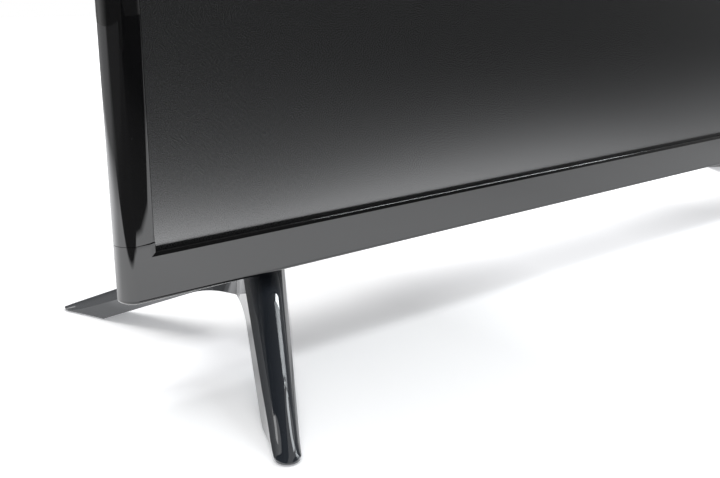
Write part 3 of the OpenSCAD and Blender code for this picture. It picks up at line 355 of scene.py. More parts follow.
def settle(piece):
    """Makes what a piece's modifiers give into its own mesh."""
    bpy.context.view_layer.update()
    ready = piece.evaluated_get(bpy.context.evaluated_depsgraph_get())
    mesh = bpy.data.meshes.new_from_object(ready)
    piece.modifiers.clear()
    piece.data = mesh


def cut_out(piece, shape):
    """Cuts a form out of a piece."""
    mesh = bpy.data.meshes.new("cutter")
    shape.to_mesh(mesh)
    shape.free()
    cutter = bpy.data.objects.new("cutter", mesh)
    scene.collection.objects.link(cutter)
    cut = piece.modifiers.new("cut", "BOOLEAN")
    cut.operation = "DIFFERENCE"
    cut.solver = "EXACT"
    cut.object = cutter
    settle(piece)
    bpy.data.objects.remove(cutter)


CELL_BORDER = 4 * mm
LIP_WIDTH = 3 * mm
SIDE_LIP_DEPTH, TRIM_LIP_DEPTH = 2.2 * mm, 1.2 * mm
LIP_SINK = 1 * mm
LIP_UNDERCUT = 1 * mm
LIP_ROUND, LIP_STEPS = 0.6 * mm, 6
EDGE_WIDTH, EDGE_DEPTH, EDGE_STEPS = 7 * mm, 8.5 * mm, 14
LOWER_ROUND, LOWER_STEPS = 2 * mm, 5
FACE_FALL = 0.8 * mm
BACK_INSET = 2.3 * mm
FRAME_WALL = 1.5 * mm
SEAM_GAP = 0.2 * mm
TOUCH = 0.001 * mm
trim_low, trim_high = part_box("bottom_trim")
frame_low, frame_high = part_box("side_frame")
glass_y = cell_low.y
picture_x = cell_high.x - CELL_BORDER
picture_low, picture_high = cell_low.z + CELL_BORDER, cell_high.z - CELL_BORDER
front_y, back_y = frame_low.y, frame_high.y
seam_z = trim_high.z + SEAM_GAP / 2


def frame_shell(face_fall, lip_depth):
    """Outer skin of the whole front frame, open at the back and at the picture."""
    shape = bmesh.new()
    bmesh.ops.create_cube(shape, size=1.0)
    size = Vector((2 * frame_high.x, back_y - front_y, frame_high.z - trim_low.z))
    middle = Vector((0.0, (front_y + back_y) / 2, (frame_high.z + trim_low.z) / 2))
    bmesh.ops.scale(shape, vec=size, verts=shape.verts)
    bmesh.ops.translate(shape, vec=middle, verts=shape.verts)
    back = [f for f in shape.faces if f.normal.y > 0.5]
    bmesh.ops.delete(shape, geom=back, context="FACES_ONLY")
    # the outer edge is rounded at the sides and the top, deeper than it is wide
    at_front = [e for e in shape.edges if all(v.co.y < middle.y for v in e.verts)]
    outer = [e for e in at_front if any(v.co.z > middle.z for v in e.verts)]
    round_edges(shape, outer, EDGE_WIDTH, EDGE_STEPS)
    for vert in shape.verts:
        if vert.co.y < front_y + EDGE_WIDTH + TOUCH:
            vert.co.y = front_y + (vert.co.y - front_y) * EDGE_DEPTH / EDGE_WIDTH
        elif vert.co.y > back_y - TOUCH:
            vert.co.x -= BACK_INSET * (1 if vert.co.x > 0 else -1)
            vert.co.z -= BACK_INSET if vert.co.z > middle.z else 0.0
    lower = [e for e in shape.edges if all(v.co.z < trim_low.z + TOUCH for v in e.verts)]
    lower = [e for e in lower if not all(v.co.y > back_y - TOUCH for v in e.verts)]
    round_edges(shape, lower, LOWER_ROUND, LOWER_STEPS)
    # the lip goes from the face in to the picture and then back to the glass
    front = max((f for f in shape.faces if f.normal.y < -0.99), key=lambda f: f.calc_area())
    bmesh.ops.inset_region(shape, faces=[front], thickness=LIP_WIDTH)
    for reach, below, depth in (
            (LIP_WIDTH, LIP_WIDTH, front_y + face_fall), (0.0, LIP_SINK, front_y + lip_depth),
            (0.0, LIP_SINK + LIP_UNDERCUT, glass_y - SEAM_GAP)):
        if reach == 0.0:
            front = bmesh.ops.extrude_discrete_faces(shape, faces=[front])["faces"][0]
        for vert in front.verts:
            vert.co.x = (picture_x + reach) * (1 if vert.co.x > 0 else -1)
            vert.co.y = depth
            vert.co.z = picture_high + reach if vert.co.z > middle.z else picture_low - below
    bmesh.ops.delete(shape, geom=[front], context="FACES_ONLY")
    brink = front_y + lip_depth
    at_brink = [e for e in shape.edges if all(abs(v.co.y - brink) < TOUCH for v in e.verts)]
    round_edges(shape, at_brink, LIP_ROUND, LIP_STEPS)
    return shape


def parted(shape, height, upper):
    """Keeps one side of the frame's parting line."""
    everything = shape.verts[:] + shape.edges[:] + shape.faces[:]
    bmesh.ops.bisect_plane(
        shape, geom=everything, plane_co=(0.0, 0.0, height), plane_no=(0.0, 0.0, 1.0),
        clear_inner=upper, clear_outer=not upper)
    return shape


DUST_SIZE, DUST_EDGE = 0.012, 0.02


def gloss_abs(name, colour):
    """High-gloss ABS in one colour, with orange peel 9 mm across and sparse dust specks."""
    material, shader = new_material(
        name, IOR=1.45, Coat_Weight=1.0, Coat_Roughness=0.01, Coat_IOR=1.5)
    where = add_node(material, "ShaderNodeTexCoord")
    dust = add_node(
        material, "ShaderNodeTexVoronoi", {"Scale": per_metre(9 * mm)},
        {"Vector": where.outputs["Object"]})
    speck = add_node(
        material, "ShaderNodeValToRGB", links={"Fac": dust.outputs["Distance"]},
        to=shader.inputs["Base Color"])
    first, last = speck.color_ramp.elements
    first.color, first.position = linear("#4a4a4a"), DUST_SIZE
    last.color, last.position = linear(colour), DUST_EDGE
    peel = add_node(
        material, "ShaderNodeTexNoise", {"Scale": per_metre(9 * mm), "Detail": 1.0},
        {"Vector": where.outputs["Object"]})
    add_node(
        material, "ShaderNodeBump", {"Strength": 0.15, "Distance": 0.01 * mm},
        {"Height": peel.outputs["Fac"]}, to=shader.inputs["Normal"])
    add_node(
        material, "ShaderNodeMapRange", {"To Min": 0.02, "To Max": 0.05},
        {"Value": peel.outputs["Fac"]}, to=shader.inputs["Roughness"])
    return material


# piano-black ABS: jet black under a clear hard face
piano_black = gloss_abs("piano_black_abs", "#0d0d0e")

upper_frame = new_piece(
    "side_frame_moulding",
    parted(frame_shell(FACE_FALL, SIDE_LIP_DEPTH), seam_z + SEAM_GAP / 2, True),
    piano_black, "gloss_black", "side_frame")
lower_trim = new_piece(
    "bottom_trim_moulding",
    parted(frame_shell(0.0, TRIM_LIP_DEPTH), seam_z - SEAM_GAP / 2, False),
    piano_black, "gloss_black", "bottom_trim")
for moulding in (upper_frame, lower_trim):
    wall = moulding.modifiers.new("wall", "SOLIDIFY")
    wall.thickness = FRAME_WALL
    wall.offset = -1.0
    wall.use_even_offset = True


def round_bar(length, width, thick, segments):
    """A bar with round ends, lying along X and centred on the origin."""
    shape = bmesh.new()
    bmesh.ops.create_cube(shape, size=1.0)
    bmesh.ops.scale(shape, vec=(length, width, thick), verts=shape.verts)
    upright = [e for e in shape.edges if abs(e.verts[0].co.z - e.verts[1].co.z) > thick / 2]
    round_edges(shape, upright, width / 2 - TOUCH, segments)
    bmesh.ops.remove_doubles(shape, verts=shape.verts, dist=3 * TOUCH)
    return shape


# the window's hole goes through the trim's face with a hair of clearance
WINDOW_GAP = 0.1 * mm
WINDOW_FLANGE = 3 * mm
WINDOW_STEPS = 10
window_low, window_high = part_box("ir_window")
window_size = window_high - window_low
window_spare = 2 * WINDOW_GAP - WINDOW_FLANGE
window_hole = round_bar(
    window_size.x + window_spare, window_size.z + window_spare, 4 * FRAME_WALL, WINDOW_STEPS)
bmesh.ops.rotate(
    window_hole, matrix=Matrix.Rotation(pi / 2, 3, "X"), verts=window_hole.verts)
window_middle = (window_low + window_high) / 2
bmesh.ops.translate(
    window_hole, vec=(window_middle.x, front_y, window_middle.z), verts=window_hole.verts)
bmesh.ops.recalc_face_normals(window_hole, faces=window_hole.faces)
cut_out(lower_trim, window_hole)
for moulding in (upper_frame, lower_trim):
    finish_edges(moulding, width=0.25 * mm, angle=20)

# smoked lens: dark red-brown clear moulding, flush in the trim in front of the receiver
smoked_acrylic = mottled(
    "smoked_acrylic", "#170a0c", "#220f12", grain=2 * mm, smooth=0.04, rough=0.1,
    IOR=1.49, Coat_Weight=0.5)
dress(smoked_acrylic, "ir_window")


# Rear cover: one deep ABS moulding with a textured face, closed over the tray and
# screwed to it. The keys stand in slots in it and press on the switches behind.
SAME_PLANE = radians(0.5)
KEYS = ("power", "source", "menu", "channel_up", "channel_down", "volume_up", "volume_down")


def softened(node, name, width, material, slot, body="cabinet"):
    """A copy of a CAD node as one closed mesh, with its sharp edges broken."""
    shape = bmesh.new()
    shape.from_mesh(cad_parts[node].data)
    bmesh.ops.remove_doubles(shape, verts=shape.verts, dist=2 * TOUCH)
    bmesh.ops.dissolve_limit(
        shape, angle_limit=SAME_PLANE, verts=shape.verts, edges=shape.edges)
    piece = new_piece(name, shape, material, slot, node, body=body)
    finish_edges(piece, width, angle=25)
    return piece


cover = softened("rear_cover", "rear_cover_moulding", 0.5 * mm, textured_abs, "black_plastic")

# the cover's rim draws in behind the frame, so that it is hidden from the front
RIM_FRONT_INSET, RIM_BACK_INSET = 0.3 * mm, 2.2 * mm
RIM_FRONT_DEPTH = 2.2 * mm
cover_low, cover_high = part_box("rear_cover")
for vert in cover.data.vertices:
    if abs(vert.co.x) > cover_high.x - TOUCH:
        at_front = vert.co.y < cover_low.y + RIM_FRONT_DEPTH
        inset = RIM_FRONT_INSET if at_front else RIM_BACK_INSET
        vert.co.x -= inset * (1 if vert.co.x > 0 else -1)
for key in KEYS:
    softened(
        key + "_key", key + "_key_cap", 0.35 * mm, textured_abs, "black_plastic", key + "_key")


# Cover screws: pan heads with a cross recess, rolled from plated steel wire.
# They sit at the bottom of wells in the cover and hold it to the tray.
HEAD_EDGE, CROSS_DEPTH = 0.4, 0.6                         # shares of a head's thickness
CROSS_REACH, CROSS_SLOT, CROSS_TAPER = 0.6, 0.14, 0.04    # shares of a head's radius
POINT_SHARE = 0.7                                         # share of a shank's radius


def cross_screw(head_round, head_thick, shank_round, shank_length):
    """A screw along Z, with its head's seat on the origin and its shank below."""
    shape = bmesh.new()
    bmesh.ops.create_cone(
        shape, cap_ends=True, segments=32, radius1=head_round, radius2=head_round,
        depth=head_thick, matrix=Matrix.Translation((0.0, 0.0, head_thick / 2)))
    top = max(shape.faces, key=lambda f: f.calc_center_median().z)
    round_edges(shape, top.edges[:], HEAD_EDGE * head_thick, segments=4)
    arm, slot = CROSS_REACH * head_round, CROSS_SLOT * head_round
    for across in ((1.0, 0.0, 0.0), (0.0, 1.0, 0.0)):
        for reach in (-arm, -slot, slot, arm):
            flat = [f for f in shape.faces if f.calc_center_median().z > head_thick - TOUCH]
            geom = list({part for f in flat for part in (f, *f.edges, *f.verts)})
            bmesh.ops.bisect_plane(
                shape, geom=geom, plane_co=Vector(across) * reach, plane_no=across)
    cross = []
    for face in shape.faces:
        middle = face.calc_center_median()
        near, far = sorted((abs(middle.x), abs(middle.y)))
        if middle.z > head_thick - TOUCH and near < slot and far < arm:
            cross.append(face)
    bmesh.ops.inset_region(
        shape, faces=cross, thickness=CROSS_TAPER * head_round, depth=-CROSS_DEPTH * head_thick)
    bmesh.ops.create_cone(
        shape, cap_ends=True, segments=16, radius1=POINT_SHARE * shank_round,
        radius2=shank_round, depth=shank_length,
        matrix=Matrix.Translation((0.0, 0.0, -shank_length / 2)))
    return shape


def set_out(shape, places):
    """Copies what a bmesh holds to each place, given as a matrix."""
    master = shape.verts[:] + shape.edges[:] + shape.faces[:]
    for place in places:
        copy = bmesh.ops.duplicate(shape, geom=master)["geom"]
        moved = [v for v in copy if isinstance(v, bmesh.types.BMVert)]
        bmesh.ops.transform(shape, matrix=place, verts=moved)
    spent = [v for v in master if isinstance(v, bmesh.types.BMVert)]
    bmesh.ops.delete(shape, geom=spent, context="VERTS")
    return shape


HEAD_ROUND, HEAD_THICK, SHANK_ROUND = 2.8 * mm, 2 * mm, 1.45 * mm
OUTER_X, INNER_X, LOW_X = 318 * mm, 110 * mm, 230 * mm
TOP_DROP = 30 * mm
MIDDLE_SHARE, LOW_SHARE = 0.543, 0.22
screws_low, screws_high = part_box("rear_cover_screws")
seat_y = screws_high.y - HEAD_THICK
top_z = picture_high - TOP_DROP
middle_z = picture_low + MIDDLE_SHARE * (picture_high - picture_low)
low_z = picture_low + LOW_SHARE * (picture_high - picture_low)
places = [
    Matrix.Translation((side * x, seat_y, z)) @ Matrix.Rotation(-pi / 2, 4, "X")
    for x, z in ((OUTER_X, top_z), (INNER_X, top_z), (OUTER_X, middle_z), (LOW_X, low_z))
    for side in (-1, 1)]
cover_screw = cross_screw(HEAD_ROUND, HEAD_THICK, SHANK_ROUND, seat_y - screws_low.y)
cover_screws = new_piece(
    "cover_screws", set_out(cover_screw, places), plated_steel, "screw_steel", "rear_cover_screws")
finish_edges(cover_screws, width=0.08 * mm, angle=40)


# Feet: two gloss mouldings, each with a pair of splayed, domed legs that meet under
# the cabinet, screwed up into the rear cover from below.
LEG_LENGTH = 129.5 * mm
LEG_SPLAY = radians(29)
ROOT_WIDTH, TIP_WIDTH = 22.5 * mm, 10.9 * mm
FOOT_HEIGHT = trim_low.z
PAD_DROP = 0.6 * mm
CREASE_TOP, CREASE_REACH = FOOT_HEIGHT - 1.9 * mm, 0.94 * LEG_LENGTH
CREASE_FALL = CREASE_TOP / CREASE_REACH
DOME_RISE, DOME_POWER = 0.392, 2.5
TOE_HEIGHT = 1 * mm
ARCH_TOP = FOOT_HEIGHT - 19.5 * mm
ARCH_FALL = 0.415
ARCH_ROUND = 60 * mm
ARCH_FOOT = LEG_LENGTH - 30.6 * mm
FLANK_DRAFT, DRAFT_FADE = 0.18, 0.3
WEB_ROUND = 14 * mm
CREST_X = 275 * mm
TIP_ROUND = TIP_WIDTH / 2
TIP_U = LEG_LENGTH - TIP_ROUND


def leg_width(u):
    """Width of a leg at a distance from the crest."""
    return ROOT_WIDTH + (TIP_WIDTH - ROOT_WIDTH) * u / LEG_LENGTH


def crease_height(u):
    """Height of the crease between a leg's dome and its flanks, levelling out at the toe."""
    fall = CREASE_TOP - CREASE_FALL * u
    return (fall + TOE_HEIGHT + sqrt((fall - TOE_HEIGHT) ** 2 + (2 * TOE_HEIGHT) ** 2)) / 2


def dome_height(u, v):
    """Height of a leg's domed top at a distance from the crest and from the leg's middle."""
    width = leg_width(u)
    rise = max(0.0, CREASE_TOP - CREASE_FALL * u + DOME_RISE * width - crease_height(u))
    return min(crease_height(u) + rise * (1 - abs(2 * v / width) ** DOME_POWER), FOOT_HEIGHT)


def arch_height(u, v):
    """Height of a leg's underside, level across: flat crown, round shoulder, straight flank."""
    bend = sqrt(1 + ARCH_FALL ** 2)
    end_z = ARCH_TOP - ARCH_ROUND * (1 - 1 / bend)
    end_u = ARCH_FOOT - end_z / ARCH_FALL
    middle_u = end_u - ARCH_ROUND * ARCH_FALL / bend
    if u < middle_u:
        return ARCH_TOP
    if u < end_u:
        return ARCH_TOP - ARCH_ROUND + sqrt(ARCH_ROUND ** 2 - (u - middle_u) ** 2)
    return ARCH_FALL * (ARCH_FOOT - u)


def flank_spread(u):
    """How far a leg's flank leans out between its crease and its lower edge."""
    fade = min(1.0, max(0.0, (LEG_LENGTH - u) / (DRAFT_FADE * LEG_LENGTH)))
    return FLANK_DRAFT * max(0.0, crease_height(u) - arch_height(u, 0.0)) * fade


def web_reach(back):
    """How far out the web between the legs stands at a distance from the middle."""
    flank = LEG_SPLAY - atan2((ROOT_WIDTH - TIP_WIDTH) / 2, LEG_LENGTH)
    if abs(back) > WEB_ROUND * sin(flank):
        return 0.0
    root = ROOT_WIDTH / 2 / cos(LEG_SPLAY)
    return root + WEB_ROUND / cos(flank) - sqrt(WEB_ROUND ** 2 - back ** 2)


STRAIGHT_STEPS, NOSE_STEPS, DOME_STEPS = 48, 12, 20
STEP_POWER = 1.3
MITRE_ROUNDS = 3
WELD = 0.005 * mm


def leg_sheet(shape, side, height_at, spread_at):
    """A sheet over both legs of a foot, from tip to tip, at the height that a function gives."""
    steps = STRAIGHT_STEPS + NOSE_STEPS
    sheet = bmesh.ops.create_grid(shape, x_segments=2 * steps, y_segments=DOME_STEPS, size=0.5)
    for vert in sheet["verts"]:
        step = round(abs(vert.co.x) * 2 * steps)
        rear = 1 if vert.co.x > 0 else -1
        across = 2 * vert.co.y
        # the second place is that of the rim beside the vertex
        places = []
        for share_across in (across, 1.0):
            if step <= STRAIGHT_STEPS:
                along = (step / STRAIGHT_STEPS) ** STEP_POWER
                u = TIP_U * along
                for _ in range(MITRE_ROUNDS):
                    v = share_across * (leg_width(u) / 2 + spread_at(TIP_U * along))
                    u = v * tan(LEG_SPLAY) * (1 - along) + TIP_U * along
            else:
                turn = (step - STRAIGHT_STEPS) / NOSE_STEPS * pi / 2
                v = share_across * TIP_ROUND * cos(turn)
                u = TIP_U + TIP_ROUND * sin(turn)
            out = u * sin(LEG_SPLAY) + v * cos(LEG_SPLAY)
            places.append((u, v, out, u * cos(LEG_SPLAY) - v * sin(LEG_SPLAY)))
        u, v, out, back = places[0]
        rim_out, rim_back = places[1][2:]
        out += max(0.0, web_reach(rim_back) - rim_out) * max(0.0, across) ** 2
        vert.co = Vector((side * (CREST_X + out), rear * back, height_at(u, v)))


def foot_shape(side):
    """Both legs of one foot, closed underneath and cut flat above the table."""
    shape = bmesh.new()
    leg_sheet(shape, side, dome_height, lambda u: 0.0)
    leg_sheet(shape, side, arch_height, flank_spread)
    bmesh.ops.remove_doubles(shape, verts=shape.verts, dist=WELD)
    bmesh.ops.bridge_loops(shape, edges=[e for e in shape.edges if e.is_boundary])
    everything = shape.verts[:] + shape.edges[:] + shape.faces[:]
    bmesh.ops.bisect_plane(
        shape, geom=everything, plane_co=(0.0, 0.0, PAD_DROP), plane_no=(0.0, 0.0, 1.0),
        clear_inner=True)
    bmesh.ops.remove_doubles(shape, verts=shape.verts, dist=WELD)
    bmesh.ops.holes_fill(shape, edges=[e for e in shape.edges if e.is_boundary])
    return shape


PAD_LENGTH, PAD_WIDTH, PAD_STEPS = 22 * mm, 6.4 * mm, 8
PAD_AT = LEG_LENGTH - 17 * mm
PAD_GAP = 0.1 * mm
pad_low, pad_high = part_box("foot_pads")
pad_thick = pad_high.z - pad_low.z


def pad_place(side, end):
    """Where the pad under one tip lies, turned along its leg."""
    along = Vector((side * sin(LEG_SPLAY), end * cos(LEG_SPLAY), 0.0))
    spot = Vector((side * CREST_X, 0.0, (pad_low.z + pad_high.z) / 2)) + along * PAD_AT
    return Matrix.Translation(spot) @ Matrix.Rotation(atan2(along.y, along.x), 4, "Z")


FOOT_SCREW_X, FOOT_SCREW_Y = CREST_X + 6 * mm, 11 * mm
FOOT_HEAD_ROUND, FOOT_HEAD_THICK = 3.8 * mm, 2.6 * mm
WELL_ROUND = FOOT_HEAD_ROUND + 0.3 * mm
foot_screws_low, foot_screws_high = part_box("foot_screws")
foot_seat = foot_screws_low.z + FOOT_HEAD_THICK

# paler black ABS: the frame's gloss over a base painted a shade paler and cooler, standing for the
# light that the feet's upturned tops catch and the frame's upright faces don't
painted_lit_black = gloss_abs("blue_black_abs", "#2b2f35")
for name, side in (("left_foot", -1), ("right_foot", 1)):
    foot = new_piece(name + "_moulding", foot_shape(side), painted_lit_black, "gloss_black", name)
    wells = bmesh.new()
    for end in (-1, 1):
        well_middle = (side * FOOT_SCREW_X, end * FOOT_SCREW_Y, foot_seat / 2)
        bmesh.ops.create_cone(
            wells, cap_ends=True, segments=40, radius1=WELL_ROUND, radius2=WELL_ROUND,
            depth=foot_seat, matrix=Matrix.Translation(well_middle))
    cut_out(foot, wells)
    recess = round_bar(PAD_LENGTH + 2 * PAD_GAP, PAD_WIDTH + 2 * PAD_GAP, pad_thick, PAD_STEPS)
    bmesh.ops.recalc_face_normals(recess, faces=recess.faces)
    cut_out(foot, set_out(recess, [pad_place(side, end) for end in (-1, 1)]))
    finish_edges(foot, width=0.25 * mm, angle=14)


# Foot screws: the cover screws' big brothers, driven up from the wells under the feet
# into the bosses of the rear cover.
FOOT_SHANK_ROUND = 1.95 * mm
places = [
    Matrix.Translation((side * FOOT_SCREW_X, end * FOOT_SCREW_Y, foot_seat))
    @ Matrix.Rotation(pi, 4, "X")
    for side in (-1, 1) for end in (-1, 1)]
foot_screw = cross_screw(
    FOOT_HEAD_ROUND, FOOT_HEAD_THICK, FOOT_SHANK_ROUND, foot_screws_high.z - foot_seat)
foot_screws = new_piece(
    "foot_screws_plated", set_out(foot_screw, places), plated_steel, "screw_steel", "foot_screws")
finish_edges(foot_screws, width=0.1 * mm, angle=40)


# Pads: ribbed black rubber, moulded flat and glued into the recess under each tip.
# The set stands on them alone.
RIB_STEP, RIB_DEPTH, RIB_DRAFT = 2.4 * mm, 0.35 * mm, 0.2 * mm
RIB_CUTS = 6
PAD_ROUND = 0.25 * mm
pad_shape = round_bar(PAD_LENGTH, PAD_WIDTH, pad_thick, PAD_STEPS)
bottom = min(pad_shape.faces, key=lambda f: f.calc_center_median().z)
round_edges(pad_shape, bottom.edges[:], PAD_ROUND, segments=2)
sole_z = -pad_thick / 2 + TOUCH
for cut in range(-RIB_CUTS, RIB_CUTS + 1):
    under = [f for f in pad_shape.faces if f.calc_center_median().z < sole_z]
    geom = list({part for f in under for part in (f, *f.edges, *f.verts)})
    bmesh.ops.bisect_plane(
        pad_shape, geom=geom, plane_co=(cut * RIB_STEP / 2, 0.0, 0.0), plane_no=(1.0, 0.0, 0.0))
grooves = []
for face in pad_shape.faces:
    middle = face.calc_center_median()
    if middle.z < sole_z and abs(middle.x) < RIB_CUTS * RIB_STEP / 2:
        if round(middle.x / RIB_STEP * 2 - 0.5) % 2:
            grooves.append(face)
bmesh.ops.inset_individual(pad_shape, faces=grooves, thickness=RIB_DRAFT, depth=-RIB_DEPTH)
places = [pad_place(side, end) for side in (-1, 1) for end in (-1, 1)]

# black rubber: matt, a little grey with rubbed dust in specks of 1 mm
pad_rubber = mottled(
    "black_rubber", "#1a1a1b", "#2a2a2b", grain=1 * mm, smooth=0.7, rough=0.9, IOR=1.52)
pads = new_piece("rubber_pads", set_out(pad_shape, places), pad_rubber, "pad_rubber", "foot_pads")
finish_edges(pads, width=0.1 * mm, angle=30)


# Studio: a large white table top that shows white to the eye and in the gloss and
# keeps the set's shadow, with painted light and shade by place in its colour and glow, soft even
# light, and a room that is dark on the camera's side.
TABLE_REACH = 3.0
TABLE_DROP = 0.2 * mm
table_shape = bmesh.new()
bmesh.ops.create_circle(table_shape, cap_ends=True, radius=TABLE_REACH, segments=96)
table_mesh = bpy.data.meshes.new("table_top")
table_shape.to_mesh(table_mesh)
table_shape.free()
table = bpy.data.objects.new("table_top", table_mesh)
table.location = (0.0, 0.0, -TABLE_DROP)
scene.collection.objects.link(table)

# white laminate: matt, with painted light and shade below that is set by place, all lengths in
# metres on the table
table_white, shader = new_material("white_laminate", Roughness=1.0, Specular_IOR_Level=0.0)
table_mesh.materials.append(table_white)
ray = add_node(table_white, "ShaderNodeLightPath")
mirrored = add_node(
    table_white, "ShaderNodeMath", {"operation": "MAXIMUM"},
    {0: ray.outputs["Is Glossy Ray"], 1: ray.outputs["Is Transmission Ray"]})
where = add_node(table_white, "ShaderNodeTexCoord")
place = add_node(table_white, "ShaderNodeSeparateXYZ", links={0: where.outputs["Object"]})
x, y = place.outputs["X"], place.outputs["Y"]

# in the gloss the table is painted lit up to a front edge that slants in three stretches, and
# painted dark beyond it
left_edge = add_node(
    table_white, "ShaderNodeMath", {"operation": "MULTIPLY_ADD", 1: -0.47, 2: -0.43}, {0: x})
near_edge = add_node(
    table_white, "ShaderNodeMapRange",
    {"From Min": -0.22, "From Max": -0.15, "To Min": -0.265, "To Max": -0.243}, {"Value": x})
right_edge = add_node(
    table_white, "ShaderNodeMath", {"operation": "MULTIPLY_ADD", 1: -0.2, 2: -0.278}, {0: x})
right_edge = add_node(
    table_white, "ShaderNodeMath", {"operation": "MINIMUM"},
    {0: right_edge.outputs[0], 1: near_edge.outputs[0]})
edge = add_node(
    table_white, "ShaderNodeMath", {"operation": "MAXIMUM"},
    {0: left_edge.outputs[0], 1: right_edge.outputs[0]})
inside = add_node(
    table_white, "ShaderNodeMath", {"operation": "SUBTRACT"}, {0: y, 1: edge.outputs[0]})
lit = add_node(
    table_white, "ShaderNodeMapRange", {"From Min": -0.012, "From Max": 0.012, "To Min": 0.05},
    {"Value": inside.outputs[0]})

# far to the left the painted light in the gloss is dim, and to the right it fades
far_tone = add_node(
    table_white, "ShaderNodeMapRange",
    {"From Min": -0.2, "From Max": 0.05, "To Min": 0.08, "To Max": 0.28}, {"Value": y})
lit = add_node(
    table_white, "ShaderNodeMapRange", {"From Min": -0.95, "From Max": -0.7},
    {"Value": x, "To Min": far_tone.outputs[0], "To Max": lit.outputs[0]})
fall = add_node(
    table_white, "ShaderNodeMapRange",
    {"From Min": -0.25, "From Max": 0.45, "To Min": 1.0, "To Max": 0.15}, {"Value": x})

# close to the set the painted light fades less, which keeps the trim's painted reflection even up
# to its right end
close_by = add_node(
    table_white, "ShaderNodeMapRange", {"From Min": -0.255, "From Max": -0.235}, {"Value": y})
far_right = add_node(
    table_white, "ShaderNodeMapRange", {"From Min": 0.1, "From Max": 0.42, "To Max": 0.19},
    {"Value": x})
fall = add_node(
    table_white, "ShaderNodeMath", {"operation": "MULTIPLY_ADD"},
    {0: far_right.outputs[0], 1: close_by.outputs[0], 2: fall.outputs[0]})
# in the gloss the table's colour carries this painted light and dark
grey = add_node(
    table_white, "ShaderNodeMath", {"operation": "MULTIPLY"},
    {0: lit.outputs[0], 1: fall.outputs[0]})
add_node(
    table_white, "ShaderNodeMapRange", {"To Min": 0.95},
    {"Value": mirrored.outputs[0], "To Max": grey.outputs[0]}, to=shader.inputs["Base Color"])

# behind the set the painted glow is brighter in the gloss, and below the cabinet it is painted in
# shade
rear = add_node(
    table_white, "ShaderNodeMapRange", {"From Min": 0.02, "From Max": 0.2, "To Max": 1.0},
    {"Value": y})
glare = add_node(
    table_white, "ShaderNodeMath", {"operation": "MULTIPLY_ADD", 1: 0.96},
    {0: fall.outputs[0], 2: rear.outputs[0]})
glare = add_node(
    table_white, "ShaderNodeMath", {"operation": "MULTIPLY"},
    {0: glare.outputs[0], 1: lit.outputs[0]})
under = add_node(
    table_white, "ShaderNodeMapRange",
    {"From Min": -0.15, "From Max": -0.08, "To Min": 1.0, "To Max": 0.3}, {"Value": y})
shade = add_node(
    table_white, "ShaderNodeMapRange", {"From Min": -0.5, "From Max": -0.4, "To Min": 1.0},
    {"Value": x, "To Max": under.outputs[0]})
glare = add_node(
    table_white, "ShaderNodeMath", {"operation": "MULTIPLY"},
    {0: glare.outputs[0], 1: shade.outputs[0]})

# to the eye the glow paints the shadow deepest at the left foot, and again towards the right one
painted_paleness = add_node(
    table_white, "ShaderNodeMapRange",
    {"From Min": -0.18, "From Max": -0.06, "To Min": 0.31, "To Max": 0.68}, {"Value": x})
foot_shade = add_node(
    table_white, "ShaderNodeMapRange", {"From Min": 0.04, "From Max": 0.16, "To Max": 0.17},
    {"Value": x})
painted_paleness = add_node(
    table_white, "ShaderNodeMath", {"operation": "SUBTRACT"},
    {0: painted_paleness.outputs[0], 1: foot_shade.outputs[0]})

# beside the front leg, before the rear one, the glow paints light into the shadow below the cabinet
beside = add_node(
    table_white, "ShaderNodeMapRange", {"From Min": -0.27, "From Max": -0.29}, {"Value": x})
before = add_node(
    table_white, "ShaderNodeMapRange", {"From Min": 0.035, "From Max": 0.012, "To Max": 0.33},
    {"Value": y})
behind_tip = add_node(
    table_white, "ShaderNodeMapRange", {"From Min": -0.04, "From Max": -0.01}, {"Value": y})
gleam = add_node(
    table_white, "ShaderNodeMath", {"operation": "MULTIPLY"},
    {0: before.outputs[0], 1: behind_tip.outputs[0]})
painted_paleness = add_node(
    table_white, "ShaderNodeMath", {"operation": "MULTIPLY_ADD"},
    {0: beside.outputs[0], 1: gleam.outputs[0], 2: painted_paleness.outputs[0]})
# the table's glow to the eye, with this painted shade in it
white = add_node(
    table_white, "ShaderNodeMath", {"operation": "MULTIPLY"},
    {0: ray.outputs["Is Camera Ray"], 1: painted_paleness.outputs[0]})
shader.inputs["Emission Color"].default_value = linear("#fbfcff")
add_node(
    table_white, "ShaderNodeMapRange", links={
        "Value": mirrored.outputs[0], "To Min": white.outputs[0], "To Max": glare.outputs[0]},
    to=shader.inputs["Emission Strength"])

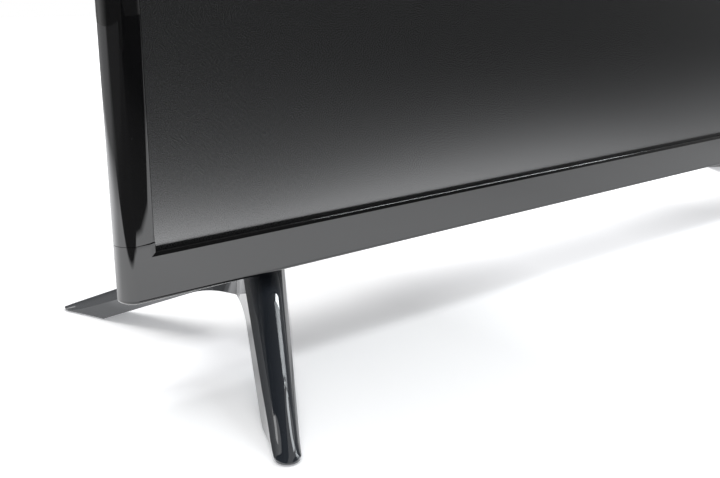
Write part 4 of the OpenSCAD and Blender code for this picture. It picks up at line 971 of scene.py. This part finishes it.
# room: white to the eye, and in the gloss brightest behind and to the right
world = bpy.data.worlds.new("room")
scene.world = world
world.use_nodes = True
backdrop = world.node_tree.nodes["Background"]
backdrop.inputs["Color"].default_value = linear("#ffffff")
ray = add_node(world, "ShaderNodeLightPath")
where = add_node(world, "ShaderNodeTexCoord")
way = add_node(world, "ShaderNodeSeparateXYZ", links={0: where.outputs["Generated"]})
rear_right = add_node(
    world, "ShaderNodeMath", {"operation": "MULTIPLY_ADD", 1: 0.2},
    {0: way.outputs["X"], 2: way.outputs["Y"]})
grey = add_node(
    world, "ShaderNodeMapRange",
    {"From Min": -0.35, "From Max": 0.6, "To Min": 0.06, "To Max": 0.95},
    {"Value": rear_right.outputs[0]})
rear_fade = add_node(
    world, "ShaderNodeMapRange",
    {"From Min": 0.6, "From Max": 0.95, "To Min": 1.0, "To Max": 0.2}, {"Value": way.outputs["Y"]})
grey = add_node(
    world, "ShaderNodeMath", {"operation": "MULTIPLY"},
    {0: grey.outputs[0], 1: rear_fade.outputs[0]})
room = add_node(
    world, "ShaderNodeMapRange", {"To Min": 0.45},
    {"Value": ray.outputs["Is Glossy Ray"], "To Max": grey.outputs[0]})
behind = add_node(
    world, "ShaderNodeMath", {"operation": "MAXIMUM"},
    {0: ray.outputs["Is Camera Ray"], 1: ray.outputs["Is Transmission Ray"]})
add_node(
    world, "ShaderNodeMapRange", {"To Max": 1.0},
    {"Value": behind.outputs[0], "To Min": room.outputs[0]}, to=backdrop.inputs["Strength"])


def hang_lamp(name, kind, place, aim, energy, **settings):
    """A lamp that faces a point and that the camera doesn't see."""
    data = bpy.data.lights.new(name, kind)
    data.energy = energy
    for setting, value in settings.items():
        setattr(data, setting, value)
    lamp = bpy.data.objects.new(name, data)
    lamp.location = place
    lamp.rotation_euler = (Vector(aim) - Vector(place)).to_track_quat("-Z", "Y").to_euler()
    lamp.visible_camera = False
    scene.collection.objects.link(lamp)
    return lamp


# the overhead light is broad and soft, and the lamps draw the long highlights on the legs
COOL_WHITE = (0.92, 0.97, 1.0)
FRONT_TIP = (-0.33, -0.1, 0.01)
overhead = hang_lamp(
    "overhead_light", "SUN", place=(0.1, 0.45, 2.0), aim=(0.0, 0.0, 0.0), energy=1.7,
    angle=radians(50))
overhead.visible_glossy = False
hang_lamp(
    "right_lamp", "AREA", place=(0.75, -0.215, 0.97), aim=(-0.25, -0.03, 0.08), energy=4.6,
    shape="RECTANGLE", size=0.11, size_y=0.64, color=COOL_WHITE)
hang_lamp(
    "side_lamp", "AREA", place=(0.64, -0.06, 0.94), aim=FRONT_TIP, energy=0.6,
    shape="RECTANGLE", size=0.12, size_y=0.4, color=COOL_WHITE)
hang_lamp(
    "rear_lamp", "AREA", place=(-1.06, 1.06, 0.88), aim=FRONT_TIP, energy=0.6,
    shape="RECTANGLE", size=0.25, size_y=0.4)
